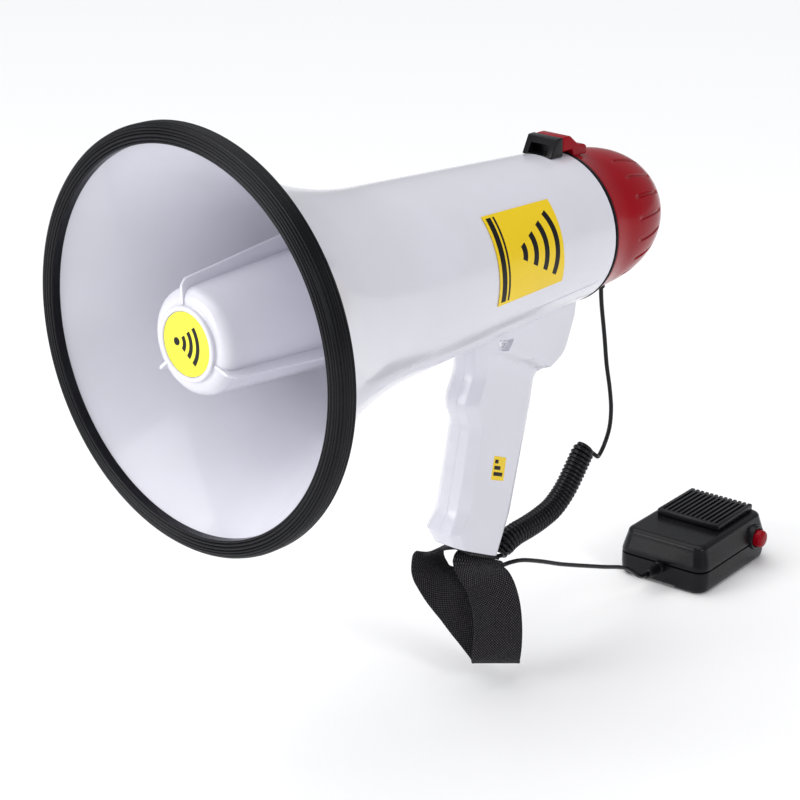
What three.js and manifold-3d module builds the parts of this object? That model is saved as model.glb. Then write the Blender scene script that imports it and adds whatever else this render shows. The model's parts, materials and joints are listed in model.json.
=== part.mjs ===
// A handheld megaphone with a corded hand microphone, in millimetres.
// The horn's axis runs along Y: the bell opens towards -Y, the rear cap is at +Y, +Z is up.
// Everything is drawn from the centre of the bell's rim, then moved so that the middle of the
// hand grip is the origin.
import * as THREE from "three";
import { mergeVertices } from "three/addons/utils/BufferGeometryUtils.js";
import Module from "manifold-3d";

const wasm = await Module();
wasm.setup();

// ---------------------------------------------------------------- driving dimensions

const FIT_GAP = 0.3; // between pieces that touch
const RUN_GAP = 0.6; // round a piece that moves
const SHELL_WALL = 2.4; // moulded horn, body and cap
const ROUND_STEPS = 48; // facets round the large turned pieces
const SMALL_STEPS = 24; // facets round the small turned pieces

// horn and body
const BELL_RADIUS = 110.5;
const BELL_LENGTH = 140;
const NECK_RADIUS = 55.5;
const BODY_LENGTH = 299.5;
const BODY_REAR_RADIUS = 46.8;
const HORN_EDGE = 1;
const FLARE_STEPS = 12;
const BODY_STEPS = 4;

// side label, by its ends along the body and round it from +X towards the top
const LABEL_FRONT = 185.5;
const LABEL_REAR = 246;
const LABEL_LOW = -13.5;
const LABEL_HIGH = 43.5;
const LABEL_THICK = 0.4;

// rim guard
const GUARD_FRONT = -3;
const GUARD_DEPTH = 11;
const GUARD_LIP = 6;
const GUARD_STAND = 4.5;
const GUARD_WALL = 3.4;
const GUARD_RIBS = 5;
const GUARD_GROOVE = 0.8;

// reflector and tone tube
const REFLECTOR_FACE = 2.5;
const REFLECTOR_RADIUS = 28.5;
const REFLECTOR_SPREAD = 0.065; // radius gained for each millimetre of depth
const REFLECTOR_LENGTH = 112;
const REFLECTOR_ROUND = 7;
const REFLECTOR_WALL = 2;
const BADGE_RADIUS = 17.3;
const BADGE_THICK = 0.8;
const BADGE_RING = 2.7;
const FIN_THICK = 1.8;
const FIN_HEIGHT = 5;
const FIN_SPREAD = 0.05;
const FIN_ANGLES = [-9, 111, 231]; // from the top, towards +X
const TONE_BORE = 11;
const TONE_WALL = 2;
const TONE_FRONT = 32;

// driver
const PLATE_Y = 124;
const PLATE_THICK = 3;
const DRIVER_RADIUS = 41;
const DRIVER_LENGTH = 36;
const MAGNET_RADIUS = 36;
const MAGNET_THICK = 14;
const COIL_RADIUS = 18;
const STEEL_THICK = 4;

// batteries, C size
const CELL_RADIUS = 13.1;
const CELL_LENGTH = 49;
const CELL_COUNT = 4; // round the tray, in two layers
const CELL_NUB = 3.2;
const BULKHEAD_Y = 172;
const CONTACT_THICK = 0.8;
const TRAY_WALL = 1.8;

// rear cap
const GASKET_THICK = 1.4;
const CAP_SKIRT = 14;
const CAP_DOME = 65;
const CAP_RADIUS = 43.5; // where the skirt meets the dome
const CAP_FULLNESS = 2.25; // 2 is an ellipse, more is squarer
const PANEL_RADIUS = 24;
const PANEL_DEPTH = 3;
const SPIGOT_LENGTH = 12;
const KNOB_RADIUS = 8.5;
const KNOB_LENGTH = 9;
const KNOB_Z = 8;
const KNOB_STEM = 3;
const SLIDER_Z = -11;
const SLIDER_TRAVEL = 4; // each way from the middle
const SLIDER_SIZE = 5;
const BOARD_THICK = 1.6;
const SINK_WIDTH = 40;
const SINK_HEIGHT = 14;
const SINK_FINS = 6;
const SINK_FIN = 2;
const SINK_LOW = -22;
const SINK_HIGH = -8;

// catch and latch on the top
const CATCH_WIDTH = 22.5;
const CATCH_LENGTH = 19.5; // ahead of the body's rear edge
const CATCH_SLANT = 12.5;
const CATCH_HEIGHT = 10;
const CATCH_WALL = 3.4;
const LATCH_WIDTH = 15;
const LATCH_LENGTH = 15.5;
const LATCH_TONGUE = 10;
const LATCH_PIN_RADIUS = 1.5;
const LATCH_EAR = 2.2; // thickness of the cap's ears that carry the pin
const PRESS_ROOM = 1.8; // under the tongue and the wedge

// grip and its saddle block
const GRIP_HALF_WIDTH = 14.5;
const GRIP_FACET = 7.3;
const GRIP_WALL = 2.6;
const BLOCK_HALF_WIDTH = 21;
const SPLIT_GAP = 0.3;
const BLOCK_CORNER = 5;
const GRIP_CORNER = 13.5;
const SCREW_HEAD = 3.2;
const SCREW_SHANK = 1.6;

// wrist strap
const STRAP_WIDTH = 30;
const STRAP_THICK = 1.6;
const STRAP_STEPS = 72;
const STRAP_SCREW_Y = 236;
const STRAP_LAYER = 1.7; // from the grip's base to the middle of the webbing under it

// cord
const CORD_RADIUS = 1.4;
const CURL_RADIUS = 7.2;
const CORD_SIDES = 8;
const CURL_SIDES = 10;
const GLAND_BACK = 45.5; // behind the cap's front edge
const GLAND_TIP = 50;

// microphone
const MIC_LENGTH = 90;
const MIC_WIDTH = 68;
const MIC_HEIGHT = 33.5;
const MIC_SPLIT = 16; // height of the parting line
const MIC_WALL = 2;
const MIC_CORNER = 8;
const MIC_TAPER = 4.5;
const MIC_X = 0.8;
const MIC_Y = 461.2;
const MIC_TURN = 5.3; // degrees about the vertical
const FLOOR_Z = -278; // underside of the microphone
const GRILLE_LENGTH = 48;
const GRILLE_WIDTH = 50;
const GRILLE_HEIGHT = 4.5;
const GRILLE_BARS = 12;
const CAPSULE_HEIGHT = 6;
const BUTTON_RADIUS = 6;
const BUTTON_STAND = 7;
const BUTTON_TRAVEL = 3;
const BUTTON_ALONG = 27; // from the middle of the microphone, away from the cord
const BUTTON_UP = 19;

// the middle of the hand grip, which is the object's origin
const GRIP_CENTRE = [0, 229, -135];

// ---------------------------------------------------------------- helpers

const v3 = (x, y, z) => new THREE.Vector3(x, y, z);
const radians = THREE.MathUtils.degToRad;

// A three.js geometry as a manifold solid.
function solid(geometry) {
  const plain = new THREE.BufferGeometry();
  plain.setAttribute("position", geometry.getAttribute("position"));
  if (geometry.index) plain.setIndex(geometry.index);
  const merged = mergeVertices(plain, 1e-4);
  const kept = [];
  const index = merged.index.array;
  for (let i = 0; i < index.length; i += 3) {
    const [a, b, c] = [index[i], index[i + 1], index[i + 2]];
    if (a !== b && b !== c && c !== a) kept.push(a, b, c);
  }
  return new wasm.Manifold(
    new wasm.Mesh({
      numProp: 3,
      vertProperties: new Float32Array(merged.attributes.position.array),
      triVerts: new Uint32Array(kept),
    }),
  );
}

// A manifold solid as a three.js geometry.
function geometryOf(shape) {
  const mesh = shape.getMesh();
  const geometry = new THREE.BufferGeometry();
  geometry.setAttribute("position", new THREE.BufferAttribute(mesh.vertProperties, 3));
  geometry.setIndex(new THREE.BufferAttribute(mesh.triVerts, 1));
  geometry.computeVertexNormals();
  return geometry;
}

// A closed profile of [radius, height] points turned about Y. It may start and end on the axis.
function turned(profile, steps = ROUND_STEPS) {
  let area = 0;
  profile.forEach(([r, y], i) => {
    const [r2, y2] = profile[(i + 1) % profile.length];
    area += r * y2 - r2 * y;
  });
  const points = profile.map(([r, y]) => new THREE.Vector2(r, y));
  if (area < 0) points.reverse();
  const onAxis = points[0].x === 0 && points[points.length - 1].x === 0;
  if (!onAxis) points.push(points[0].clone());
  return solid(new THREE.LatheGeometry(points, steps));
}

// A ring between two radii and two heights, or a disc when the inner radius is 0.
function ring(inner, outer, low, high, steps = ROUND_STEPS) {
  if (inner === 0) return turned([[0, low], [outer, low], [outer, high], [0, high]], steps);
  return turned([[inner, low], [outer, low], [outer, high], [inner, high]], steps);
}

function box(x0, x1, y0, y1, z0, z1) {
  const shape = new THREE.BoxGeometry(x1 - x0, y1 - y0, z1 - z0);
  shape.translate((x0 + x1) / 2, (y0 + y1) / 2, (z0 + z1) / 2);
  return solid(shape);
}

// A flat outline pushed out evenly about its own plane, then laid on the axes u, v, w.
function slab(outline, depth, u, v, w) {
  const shape = new THREE.Shape(outline.map(([x, y]) => new THREE.Vector2(x, y)));
  const pushed = new THREE.ExtrudeGeometry(shape, { depth, bevelEnabled: false, steps: 1 });
  pushed.translate(0, 0, -depth / 2);
  pushed.applyMatrix4(new THREE.Matrix4().makeBasis(u, v, w));
  return solid(pushed);
}

// An outline in Y and Z, pushed out along X.
const sideSlab = (outline, depth) => slab(outline, depth, v3(0, 1, 0), v3(0, 0, 1), v3(1, 0, 0));

// A solid whose skin runs through a stack of rings with the same number of points.
function loft(rings) {
  const count = rings[0].length;
  const points = rings.flat();
  const faces = [];
  for (let i = 0; i + 1 < rings.length; i += 1) {
    for (let j = 0; j < count; j += 1) {
      const k = (j + 1) % count;
      const [a, b, c, d] = [i * count + j, i * count + k, (i + 1) * count + k, (i + 1) * count + j];
      faces.push(a, b, c, a, c, d);
    }
  }
  const last = (rings.length - 1) * count;
  for (let j = 1; j + 1 < count; j += 1) {
    faces.push(0, j + 1, j);
    faces.push(last, last + j, last + j + 1);
  }
  const geometry = new THREE.BufferGeometry().setFromPoints(points);
  geometry.setIndex(faces);
  const made = solid(geometry);
  if (made.volume() > 0) return made;
  const turnedRound = [];
  for (let i = 0; i < faces.length; i += 3) turnedRound.push(faces[i], faces[i + 2], faces[i + 1]);
  geometry.setIndex(turnedRound);
  return solid(geometry);
}

// A round section of a given number of sides carried along a smooth route.
function tube(route, radius, sides, step) {
  const path = new THREE.CatmullRomCurve3(route, false, "centripetal");
  const section = new THREE.Shape();
  for (let i = 0; i < sides; i += 1) {
    const turn = (2 * Math.PI * i) / sides;
    const [x, y] = [radius * Math.cos(turn), radius * Math.sin(turn)];
    if (i === 0) section.moveTo(x, y);
    else section.lineTo(x, y);
  }
  const steps = Math.max(2, Math.round(path.getLength() / step));
  return solid(new THREE.ExtrudeGeometry(section, { steps, extrudePath: path, bevelEnabled: false }));
}

const parts = new THREE.Group();
const plastic = { roughness: 0.25, metalness: 0 };
const metal = { roughness: 0.3, metalness: 1 };
const FINISHES = {
  white: { color: 0xe6e5ee, ...plastic },
  rubber: { color: 0x17161a, roughness: 0.6, metalness: 0 },
  yellow: { color: 0xf2dc10, ...plastic },
  red: { color: 0x9a0510, ...plastic },
  black: { color: 0x1a191d, roughness: 0.4, metalness: 0 },
  chrome: { color: 0xd8d8dc, ...metal },
  steel: { color: 0x8e8f93, ...metal },
  aluminium: { color: 0xb5b7bb, ...metal },
  ferrite: { color: 0x2c2c30, roughness: 0.7, metalness: 0 },
  copper: { color: 0xb8703a, ...metal },
  board: { color: 0x1f6b3a, roughness: 0.5, metalness: 0 },
  cell: { color: 0x2d4f8f, roughness: 0.35, metalness: 0.3 },
  webbing: { color: 0x141416, roughness: 0.9, metalness: 0 },
};

function add(name, shape, finish, group = parts) {
  const material = new THREE.MeshStandardMaterial(FINISHES[finish]);
  const mesh = new THREE.Mesh(geometryOf(shape), material);
  mesh.name = name;
  group.add(mesh);
  return shape;
}

// ---------------------------------------------------------------- horn and body

const TAPER = (NECK_RADIUS - BODY_REAR_RADIUS) / (BODY_LENGTH - BELL_LENGTH);
const straight = (y) => BODY_REAR_RADIUS + TAPER * (BODY_LENGTH - y);
const FLARE = BELL_RADIUS - straight(0);

// Outer radius of the white moulding at a distance behind the rim.
function hornOuter(y) {
  const flare = Math.max(0, 1 - y / BELL_LENGTH);
  return straight(y) + FLARE * flare * flare;
}
const hornInner = (y) => hornOuter(y) - SHELL_WALL;

function spread(from, to, steps) {
  return Array.from({ length: steps + 1 }, (_, i) => from + ((to - from) * i) / steps);
}

function hornStations() {
  const body = spread(BELL_LENGTH, BODY_LENGTH, BODY_STEPS).slice(1);
  return [...spread(HORN_EDGE, BELL_LENGTH, FLARE_STEPS), ...body];
}

// The solid that the moulding fills, grown by a clearance: it cuts whatever seats on the body.
function bodyBlank(clearance) {
  const skin = hornStations().map((y) => [hornOuter(y) + clearance, y]);
  return turned([[0, HORN_EDGE], ...skin, [0, BODY_LENGTH]]);
}

function hornShell() {
  const outside = hornStations().map((y) => [hornOuter(y), y]);
  const inside = hornStations().map((y) => [hornInner(y), y]);
  return turned([...outside, ...inside.reverse()]);
}

function sideLabel() {
  const stations = spread(LABEL_FRONT, LABEL_REAR, 2);
  const near = stations.map((y) => [hornOuter(y) + FIT_GAP, y]);
  const far = stations.map((y) => [hornOuter(y) + FIT_GAP + LABEL_THICK, y]).reverse();
  const reach = 2 * BELL_RADIUS;
  const corner = (angle) => [reach * Math.cos(radians(angle)), reach * Math.sin(radians(angle))];
  const outline = [[0, 0], corner(LABEL_LOW), corner(LABEL_HIGH)];
  const wedge = slab(outline, LABEL_REAR - LABEL_FRONT + 2, v3(1, 0, 0), v3(0, 0, 1), v3(0, -1, 0));
  const middle = (LABEL_FRONT + LABEL_REAR) / 2;
  return turned([...near, ...far]).intersect(wedge.translate([0, middle, 0]));
}

function rimGuard() {
  const inner = BELL_RADIUS - GUARD_LIP;
  const outer = BELL_RADIUS + GUARD_STAND;
  const rear = GUARD_FRONT + GUARD_DEPTH;
  const firstRib = GUARD_FRONT + 2.4;
  const pitch = (rear - firstRib) / GUARD_RIBS;
  const profile = [
    [inner, GUARD_FRONT + 1], [inner + 1, GUARD_FRONT],
    [outer - 3, GUARD_FRONT], [outer - GUARD_GROOVE, GUARD_FRONT + 1.2],
  ];
  spread(firstRib, rear - pitch, GUARD_RIBS - 1).forEach((y) => {
    profile.push([outer, y], [outer, y + pitch * 0.7], [outer - GUARD_GROOVE, y + pitch * 0.85]);
  });
  const seat = HORN_EDGE - FIT_GAP;
  const lipEnd = HORN_EDGE + 2.4;
  profile.push([outer - GUARD_WALL, rear], [outer - GUARD_WALL, seat]);
  profile.push([hornInner(HORN_EDGE) - 2 * FIT_GAP, seat], [hornInner(lipEnd) - 2 * FIT_GAP, lipEnd]);
  return turned(profile);
}

// ---------------------------------------------------------------- reflector

const reflectorOuter = (y) => REFLECTOR_RADIUS + REFLECTOR_SPREAD * (y - REFLECTOR_FACE);

function reflectorShell() {
  const recess = BADGE_RADIUS + FIT_GAP;
  const ringOuter = recess + BADGE_RING;
  const floor = 2 * BADGE_THICK;
  const shoulderY = REFLECTOR_FACE + REFLECTOR_ROUND;
  const shoulder = spread(Math.PI / 2, 0, 5).map((turn) => [
    reflectorOuter(shoulderY) - REFLECTOR_ROUND * (1 - Math.cos(turn)),
    shoulderY - REFLECTOR_ROUND * Math.sin(turn),
  ]);
  const inside = [
    [reflectorOuter(REFLECTOR_LENGTH) - REFLECTOR_WALL, REFLECTOR_LENGTH],
    [reflectorOuter(shoulderY + 4) - REFLECTOR_WALL, shoulderY + 4],
    [reflectorOuter(shoulderY) - REFLECTOR_WALL - 4, REFLECTOR_FACE + 4.5],
    [ringOuter - 4, REFLECTOR_FACE + 3],
  ];
  // Inside, the floor rises to a point that turns the sound back round the tone tube.
  return turned([
    [0, floor],
    [recess, floor],
    [recess, 0.6],
    [recess + 0.6, 0],
    [ringOuter - 0.6, 0],
    [ringOuter, 0.6],
    [ringOuter, REFLECTOR_FACE],
    ...shoulder,
    [reflectorOuter(REFLECTOR_LENGTH), REFLECTOR_LENGTH],
    ...inside,
    [0, REFLECTOR_FACE + 16],
  ], 40);
}

function reflectorFin(angle) {
  const tip = (y) => reflectorOuter(y) + FIN_HEIGHT + FIN_SPREAD * y;
  const root = (y) => reflectorOuter(y) - REFLECTOR_WALL / 2;
  const rear = PLATE_Y - FIT_GAP;
  const outline = [
    [BADGE_RADIUS + BADGE_RING - 1, 0.9],
    [REFLECTOR_RADIUS + FIN_HEIGHT - 3, 1.6],
    [tip(REFLECTOR_FACE), REFLECTOR_FACE + 3],
    [tip(rear), rear],
    [root(rear), rear],
    [root(20), 20],
    [root(10) - 3, 7],
    [BADGE_RADIUS + BADGE_RING - 1, REFLECTOR_FACE + 1],
  ];
  const out = v3(Math.sin(radians(angle)), 0, Math.cos(radians(angle)));
  const along = v3(0, 1, 0);
  return slab(outline, FIN_THICK, out, along, out.clone().cross(along));
}

function reflector() {
  return FIN_ANGLES.reduce((shape, angle) => shape.add(reflectorFin(angle)), reflectorShell());
}

// ---------------------------------------------------------------- driver

const driverFront = PLATE_Y + PLATE_THICK + FIT_GAP;

function driverPieces() {
  const tubeOuter = TONE_BORE + TONE_WALL;
  const hole = tubeOuter + FIT_GAP;
  const ringBack = driverFront + STEEL_THICK;
  const plateEdge = hornInner(PLATE_Y + PLATE_THICK) - FIT_GAP;
  add("tone_tube", ring(TONE_BORE, tubeOuter, TONE_FRONT, ringBack, 32), "white");
  add("throat_plate", ring(hole, plateEdge, PLATE_Y, PLATE_Y + PLATE_THICK), "white");
  add("driver_front_ring", ring(hole, DRIVER_RADIUS - 3, driverFront, ringBack, 32), "aluminium");

  const dome = ringBack + 1;
  const diaphragm = [];
  for (let i = 0; i <= 5; i += 1) {
    const turn = (Math.PI / 2) * (1 - i / 5);
    diaphragm.push([COIL_RADIUS * Math.sin(turn), dome + 5 * (1 - Math.cos(turn)) ]);
  }
  const bulge = diaphragm.map(([r, y]) => [r, dome + 5 - (y - dome)]);
  const behind = bulge.map(([r, y]) => [Math.max(0, r - 0.8), y + 0.8]).reverse();
  bulge[bulge.length - 1][0] = 0;
  behind[0][0] = 0;
  add("diaphragm", turned([...behind, ...bulge], 32), "copper");

  const coilFront = dome + 5 + 1.4;
  const topPlate = coilFront + 2;
  const magnetFront = topPlate + STEEL_THICK + FIT_GAP;
  const magnetBack = magnetFront + MAGNET_THICK;
  add("voice_coil", ring(COIL_RADIUS - 0.5, COIL_RADIUS + 0.3, coilFront, topPlate + 5, 32), "copper");
  const frontPlate = ring(COIL_RADIUS + 1, MAGNET_RADIUS - 2, topPlate, topPlate + STEEL_THICK, 32);
  add("magnet_top_plate", frontPlate, "steel");
  add("ring_magnet", ring(COIL_RADIUS + 3, MAGNET_RADIUS, magnetFront, magnetBack, 32), "ferrite");
  const plate = magnetBack + FIT_GAP;
  const pole = COIL_RADIUS - 1.2;
  add("magnet_back_plate", turned([
    [0, topPlate], [pole, topPlate], [pole, plate],
    [MAGNET_RADIUS - 2, plate], [MAGNET_RADIUS - 2, plate + STEEL_THICK], [0, plate + STEEL_THICK],
  ], 32), "steel");
  const coverFront = ringBack + FIT_GAP;
  const coverBack = coverFront + DRIVER_LENGTH;
  add("driver_cover", turned([
    [MAGNET_RADIUS + 1, coverFront], [DRIVER_RADIUS, coverFront], [DRIVER_RADIUS, coverBack - 3],
    [DRIVER_RADIUS - 3, coverBack], [0, coverBack], [0, coverBack - 2], [MAGNET_RADIUS + 1, coverBack - 2],
  ].reverse(), 32), "black");
}

// ---------------------------------------------------------------- batteries

function batteryPieces() {
  const circle = CELL_RADIUS / Math.sin(Math.PI / CELL_COUNT) + FIT_GAP;
  const tray = circle + CELL_RADIUS + FIT_GAP;
  const bulkheadBack = BULKHEAD_Y + PLATE_THICK;
  const contactFront = bulkheadBack + FIT_GAP;
  const cellsFront = contactFront + CONTACT_THICK + FIT_GAP;
  const pitch = CELL_LENGTH + FIT_GAP;
  const cellsBack = cellsFront + 2 * pitch;
  const edge = hornInner(bulkheadBack) - FIT_GAP;
  add("battery_bulkhead", ring(0, edge, BULKHEAD_Y, bulkheadBack), "white");
  add("front_contact_plate", ring(0, tray - 2, contactFront, contactFront + CONTACT_THICK, 24), "steel");
  const trayShape = ring(tray, tray + TRAY_WALL, contactFront, cellsBack + 2, 32);
  const window = box(-tray * 0.4, tray * 0.4, cellsFront + 8, cellsBack - 8, 0, 2 * tray);
  add("battery_tray", trayShape.subtract(window), "black");
  for (let layer = 0; layer < 2; layer += 1) {
    for (let i = 0; i < CELL_COUNT; i += 1) {
      const turn = (2 * Math.PI * (i + 0.5)) / CELL_COUNT;
      const front = cellsFront + layer * pitch;
      const back = front + CELL_LENGTH;
      const cell = turned([
        [0, front], [CELL_RADIUS, front], [CELL_RADIUS, back - 1.5],
        [CELL_NUB, back - 1.5], [CELL_NUB, back], [0, back],
      ], 20);
      const placed = cell.translate([circle * Math.sin(turn), 0, circle * Math.cos(turn)]);
      add(`battery_cell_${layer * CELL_COUNT + i + 1}`, placed, "cell");
    }
  }
  add("rear_contact_plate", ring(0, tray - 2, cellsBack, cellsBack + CONTACT_THICK, 24), "steel");
  const cover = cellsBack + 2 + FIT_GAP;
  add("battery_tray_cover", ring(0, tray + TRAY_WALL, cover, cover + 2, 32), "black");
}

// ---------------------------------------------------------------- rear cap

const gasketFront = BODY_LENGTH + FIT_GAP;
const capFront = gasketFront + GASKET_THICK + FIT_GAP;
const domeFront = capFront + CAP_SKIRT;
const glandY = capFront + GLAND_BACK;
const panelTurn = Math.acos((PANEL_RADIUS / CAP_RADIUS) ** (CAP_FULLNESS / 2));
const panelY = domePoint(panelTurn, 0)[1];
const panelFloor = panelY - PANEL_DEPTH;

// A point [radius, y] of the dome, 0 at the skirt and a quarter turn at the tip.
function domePoint(turn, inset) {
  const power = 2 / CAP_FULLNESS;
  const radius = (CAP_RADIUS - inset) * Math.cos(turn) ** power;
  return [radius, domeFront + (CAP_DOME - inset) * Math.sin(turn) ** power];
}

function capShell() {
  const spigot = hornInner(BODY_LENGTH) - RUN_GAP;
  const innerFloor = panelFloor - SHELL_WALL;
  const outside = spread(0, panelTurn, 8).map((turn) => domePoint(turn, 0));
  const inside = spread(0, panelTurn, 8).map((turn) => domePoint(turn, SHELL_WALL));
  const insideKept = inside.filter(([, y]) => y < innerFloor - 1);
  const shape = turned([
    [spigot, capFront - SPIGOT_LENGTH],
    [spigot, capFront],
    [BODY_REAR_RADIUS, capFront],
    ...outside,
    [PANEL_RADIUS - 1.2, panelY],
    [PANEL_RADIUS - 1.2, panelFloor],
    [0, panelFloor],
    [0, innerFloor],
    [PANEL_RADIUS + 2, innerFloor],
    ...insideKept.reverse(),
    [BODY_REAR_RADIUS - SHELL_WALL - 1, capFront + 2],
    [spigot - SHELL_WALL, capFront],
    [spigot - SHELL_WALL, capFront - SPIGOT_LENGTH],
  ].reverse());
  const deep = PANEL_DEPTH + SHELL_WALL + 2;
  const knobHole = ring(0, KNOB_STEM + RUN_GAP, 0, 2 * deep, 20);
  const slotHalf = SLIDER_SIZE / 2 + SLIDER_TRAVEL + RUN_GAP;
  const slotHigh = SLIDER_SIZE / 2 + RUN_GAP;
  const [slotLow, slotTop] = [SLIDER_Z - slotHigh, SLIDER_Z + slotHigh];
  const slot = box(-slotHalf, slotHalf, panelFloor - deep, panelFloor + 1, slotLow, slotTop);
  const glandHole = vertical(ring(0, CORD_RADIUS + 2 + FIT_GAP, 0, CAP_RADIUS + 5, 20), glandY);
  const earFoot = Math.min(CAP_RADIUS - 1.5, latchBase - 1.9);
  const ears = box(-earHalf, earHalf, pinY - 5, pinY + 4.5, earFoot, pinZ + 3.2);
  const pocketHalf = LATCH_WIDTH / 2 + RUN_GAP;
  const pocketBack = pinY + 5;
  const pocket = box(-pocketHalf, pocketHalf, capFront - 1, pocketBack, latchBase, 2 * CAP_RADIUS);
  const pinBore = cross(LATCH_PIN_RADIUS + FIT_GAP, 3 * earHalf);
  const cuts = [pocket, pinBore, slot, glandHole, knobHole.translate([0, panelFloor - deep, KNOB_Z])];
  return cuts.reduce((cap, cut) => cap.subtract(cut), shape.add(ears));
}

// Turns a piece drawn along +Y so that it points down at a distance behind the rim.
function vertical(shape, y) {
  return shape.rotate([-90, 0, 0]).translate([0, y, 0]);
}

function capPieces() {
  const spigot = hornInner(BODY_LENGTH) - RUN_GAP;
  add("rear_cap", capShell(), "red");
  const gasketBack = gasketFront + GASKET_THICK;
  const gasket = ring(spigot + FIT_GAP, BODY_REAR_RADIUS + 0.4, gasketFront, gasketBack);
  add("cap_gasket", gasket, "rubber");

  const inner = panelFloor - SHELL_WALL - FIT_GAP;
  const potLength = 8;
  const pot = ring(KNOB_STEM + RUN_GAP, 8, inner - potLength, inner, SMALL_STEPS);
  add("volume_control", pot.translate([0, 0, KNOB_Z]), "steel");
  const knobFront = panelFloor + RUN_GAP;
  const knobBack = knobFront + KNOB_LENGTH;
  const stemEnd = inner - potLength + 1;
  const knob = turned([
    [0, stemEnd], [KNOB_STEM, stemEnd], [KNOB_STEM, knobFront],
    [KNOB_RADIUS, knobFront], [KNOB_RADIUS - 0.6, knobBack - 1.2],
    [KNOB_RADIUS - 1.8, knobBack], [0, knobBack],
  ], SMALL_STEPS).translate([0, 0, KNOB_Z]);
  const pointer = box(-0.5, 0.5, knobBack - 0.8, knobBack + 1, KNOB_Z + 2, KNOB_Z + KNOB_RADIUS);
  add("volume_knob", knob.subtract(pointer), "black");

  const half = SLIDER_SIZE / 2;
  const [low, high] = [SLIDER_Z - half, SLIDER_Z + half];
  const travel = half + SLIDER_TRAVEL + RUN_GAP;
  const block = box(-travel - 2, travel + 2, inner - 6, inner, low - 2, high + 2);
  const pocket = box(-travel, travel, inner - 4, inner + 1, low - RUN_GAP, high + RUN_GAP);
  add("mode_switch_body", block.subtract(pocket), "black");
  add("mode_slider", box(-half, half, inner - 3, panelFloor + 3, low, high), "black");

  const boardY = capFront + 6;
  const boardHalf = CAP_RADIUS * 0.55;
  const onBoard = boardY + BOARD_THICK + FIT_GAP;
  const board = box(-boardHalf, boardHalf, boardY, boardY + BOARD_THICK, -boardHalf, boardHalf);
  add("amplifier_board", board, "board");
  const finPitch = (SINK_WIDTH - SINK_FIN) / (SINK_FINS - 1);
  const left = -SINK_WIDTH / 2;
  let sink = box(left, -left, onBoard, onBoard + 3, SINK_LOW, SINK_HIGH);
  for (let i = 0; i < SINK_FINS; i += 1) {
    const x = left + finPitch * i;
    sink = sink.add(box(x, x + SINK_FIN, onBoard + 2, onBoard + SINK_HEIGHT, SINK_LOW, SINK_HIGH));
  }
  add("heat_sink", sink, "aluminium");
  add("output_transformer", box(-10, 10, onBoard, onBoard + SINK_HEIGHT, -3, 15), "ferrite");
}

// ---------------------------------------------------------------- catch box and latch

const catchFront = BODY_LENGTH - CATCH_LENGTH;
const catchBack = BODY_LENGTH - 0.5;
const catchTop = hornOuter(catchFront + CATCH_SLANT) + CATCH_HEIGHT;
const latchTop = catchTop - 0.6;
const latchBase = BODY_REAR_RADIUS - 2.9;
const latchLow = latchBase + PRESS_ROOM;
const tongueHalf = LATCH_WIDTH / 2 - 2;
const tongueLow = catchTop - CATCH_WALL - 3.4;
const tongueHigh = catchTop - CATCH_WALL - RUN_GAP;
const pinY = capFront + LATCH_LENGTH - 5;
const pinZ = latchLow + LATCH_PIN_RADIUS + 1.3;
const earHalf = LATCH_WIDTH / 2 + RUN_GAP + LATCH_EAR;

function catchBox() {
  const under = BODY_REAR_RADIUS - 4;
  const foot = hornOuter(catchFront) - 0.5;
  const block = sideSlab([
    [catchFront, under], [catchBack, under], [catchBack, catchTop],
    [catchFront + CATCH_SLANT, catchTop], [catchFront, foot],
  ], CATCH_WIDTH);
  const half = tongueHalf + RUN_GAP;
  const low = tongueLow - PRESS_ROOM;
  const window = box(-half, half, catchFront - 5, catchBack + 5, low, tongueHigh + RUN_GAP);
  return block.subtract(window).subtract(bodyBlank(FIT_GAP));
}

function latchPieces() {
  const front = capFront + 0.2;
  const back = capFront + LATCH_LENGTH - RUN_GAP;
  const body = sideSlab([
    [front, latchLow], [back, latchLow], [back, pinZ],
    [front + 4, latchTop], [front, latchTop],
  ], LATCH_WIDTH);
  const tongue = box(-tongueHalf, tongueHalf, front - LATCH_TONGUE, front + 2, tongueLow, tongueHigh);
  add("cap_latch", body.add(tongue).subtract(cross(LATCH_PIN_RADIUS + FIT_GAP, CATCH_WIDTH)), "red");
  add("latch_pin", cross(LATCH_PIN_RADIUS, 2 * earHalf - 2 * FIT_GAP), "steel");
  add("catch_box", catchBox(), "black");
}

// A round bar across the latch, on its hinge axis.
function cross(radius, length) {
  const bar = ring(0, radius, -length / 2, length / 2, 20);
  return bar.rotate([0, 0, 90]).translate([0, pinY, pinZ]);
}

// ---------------------------------------------------------------- grip

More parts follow.
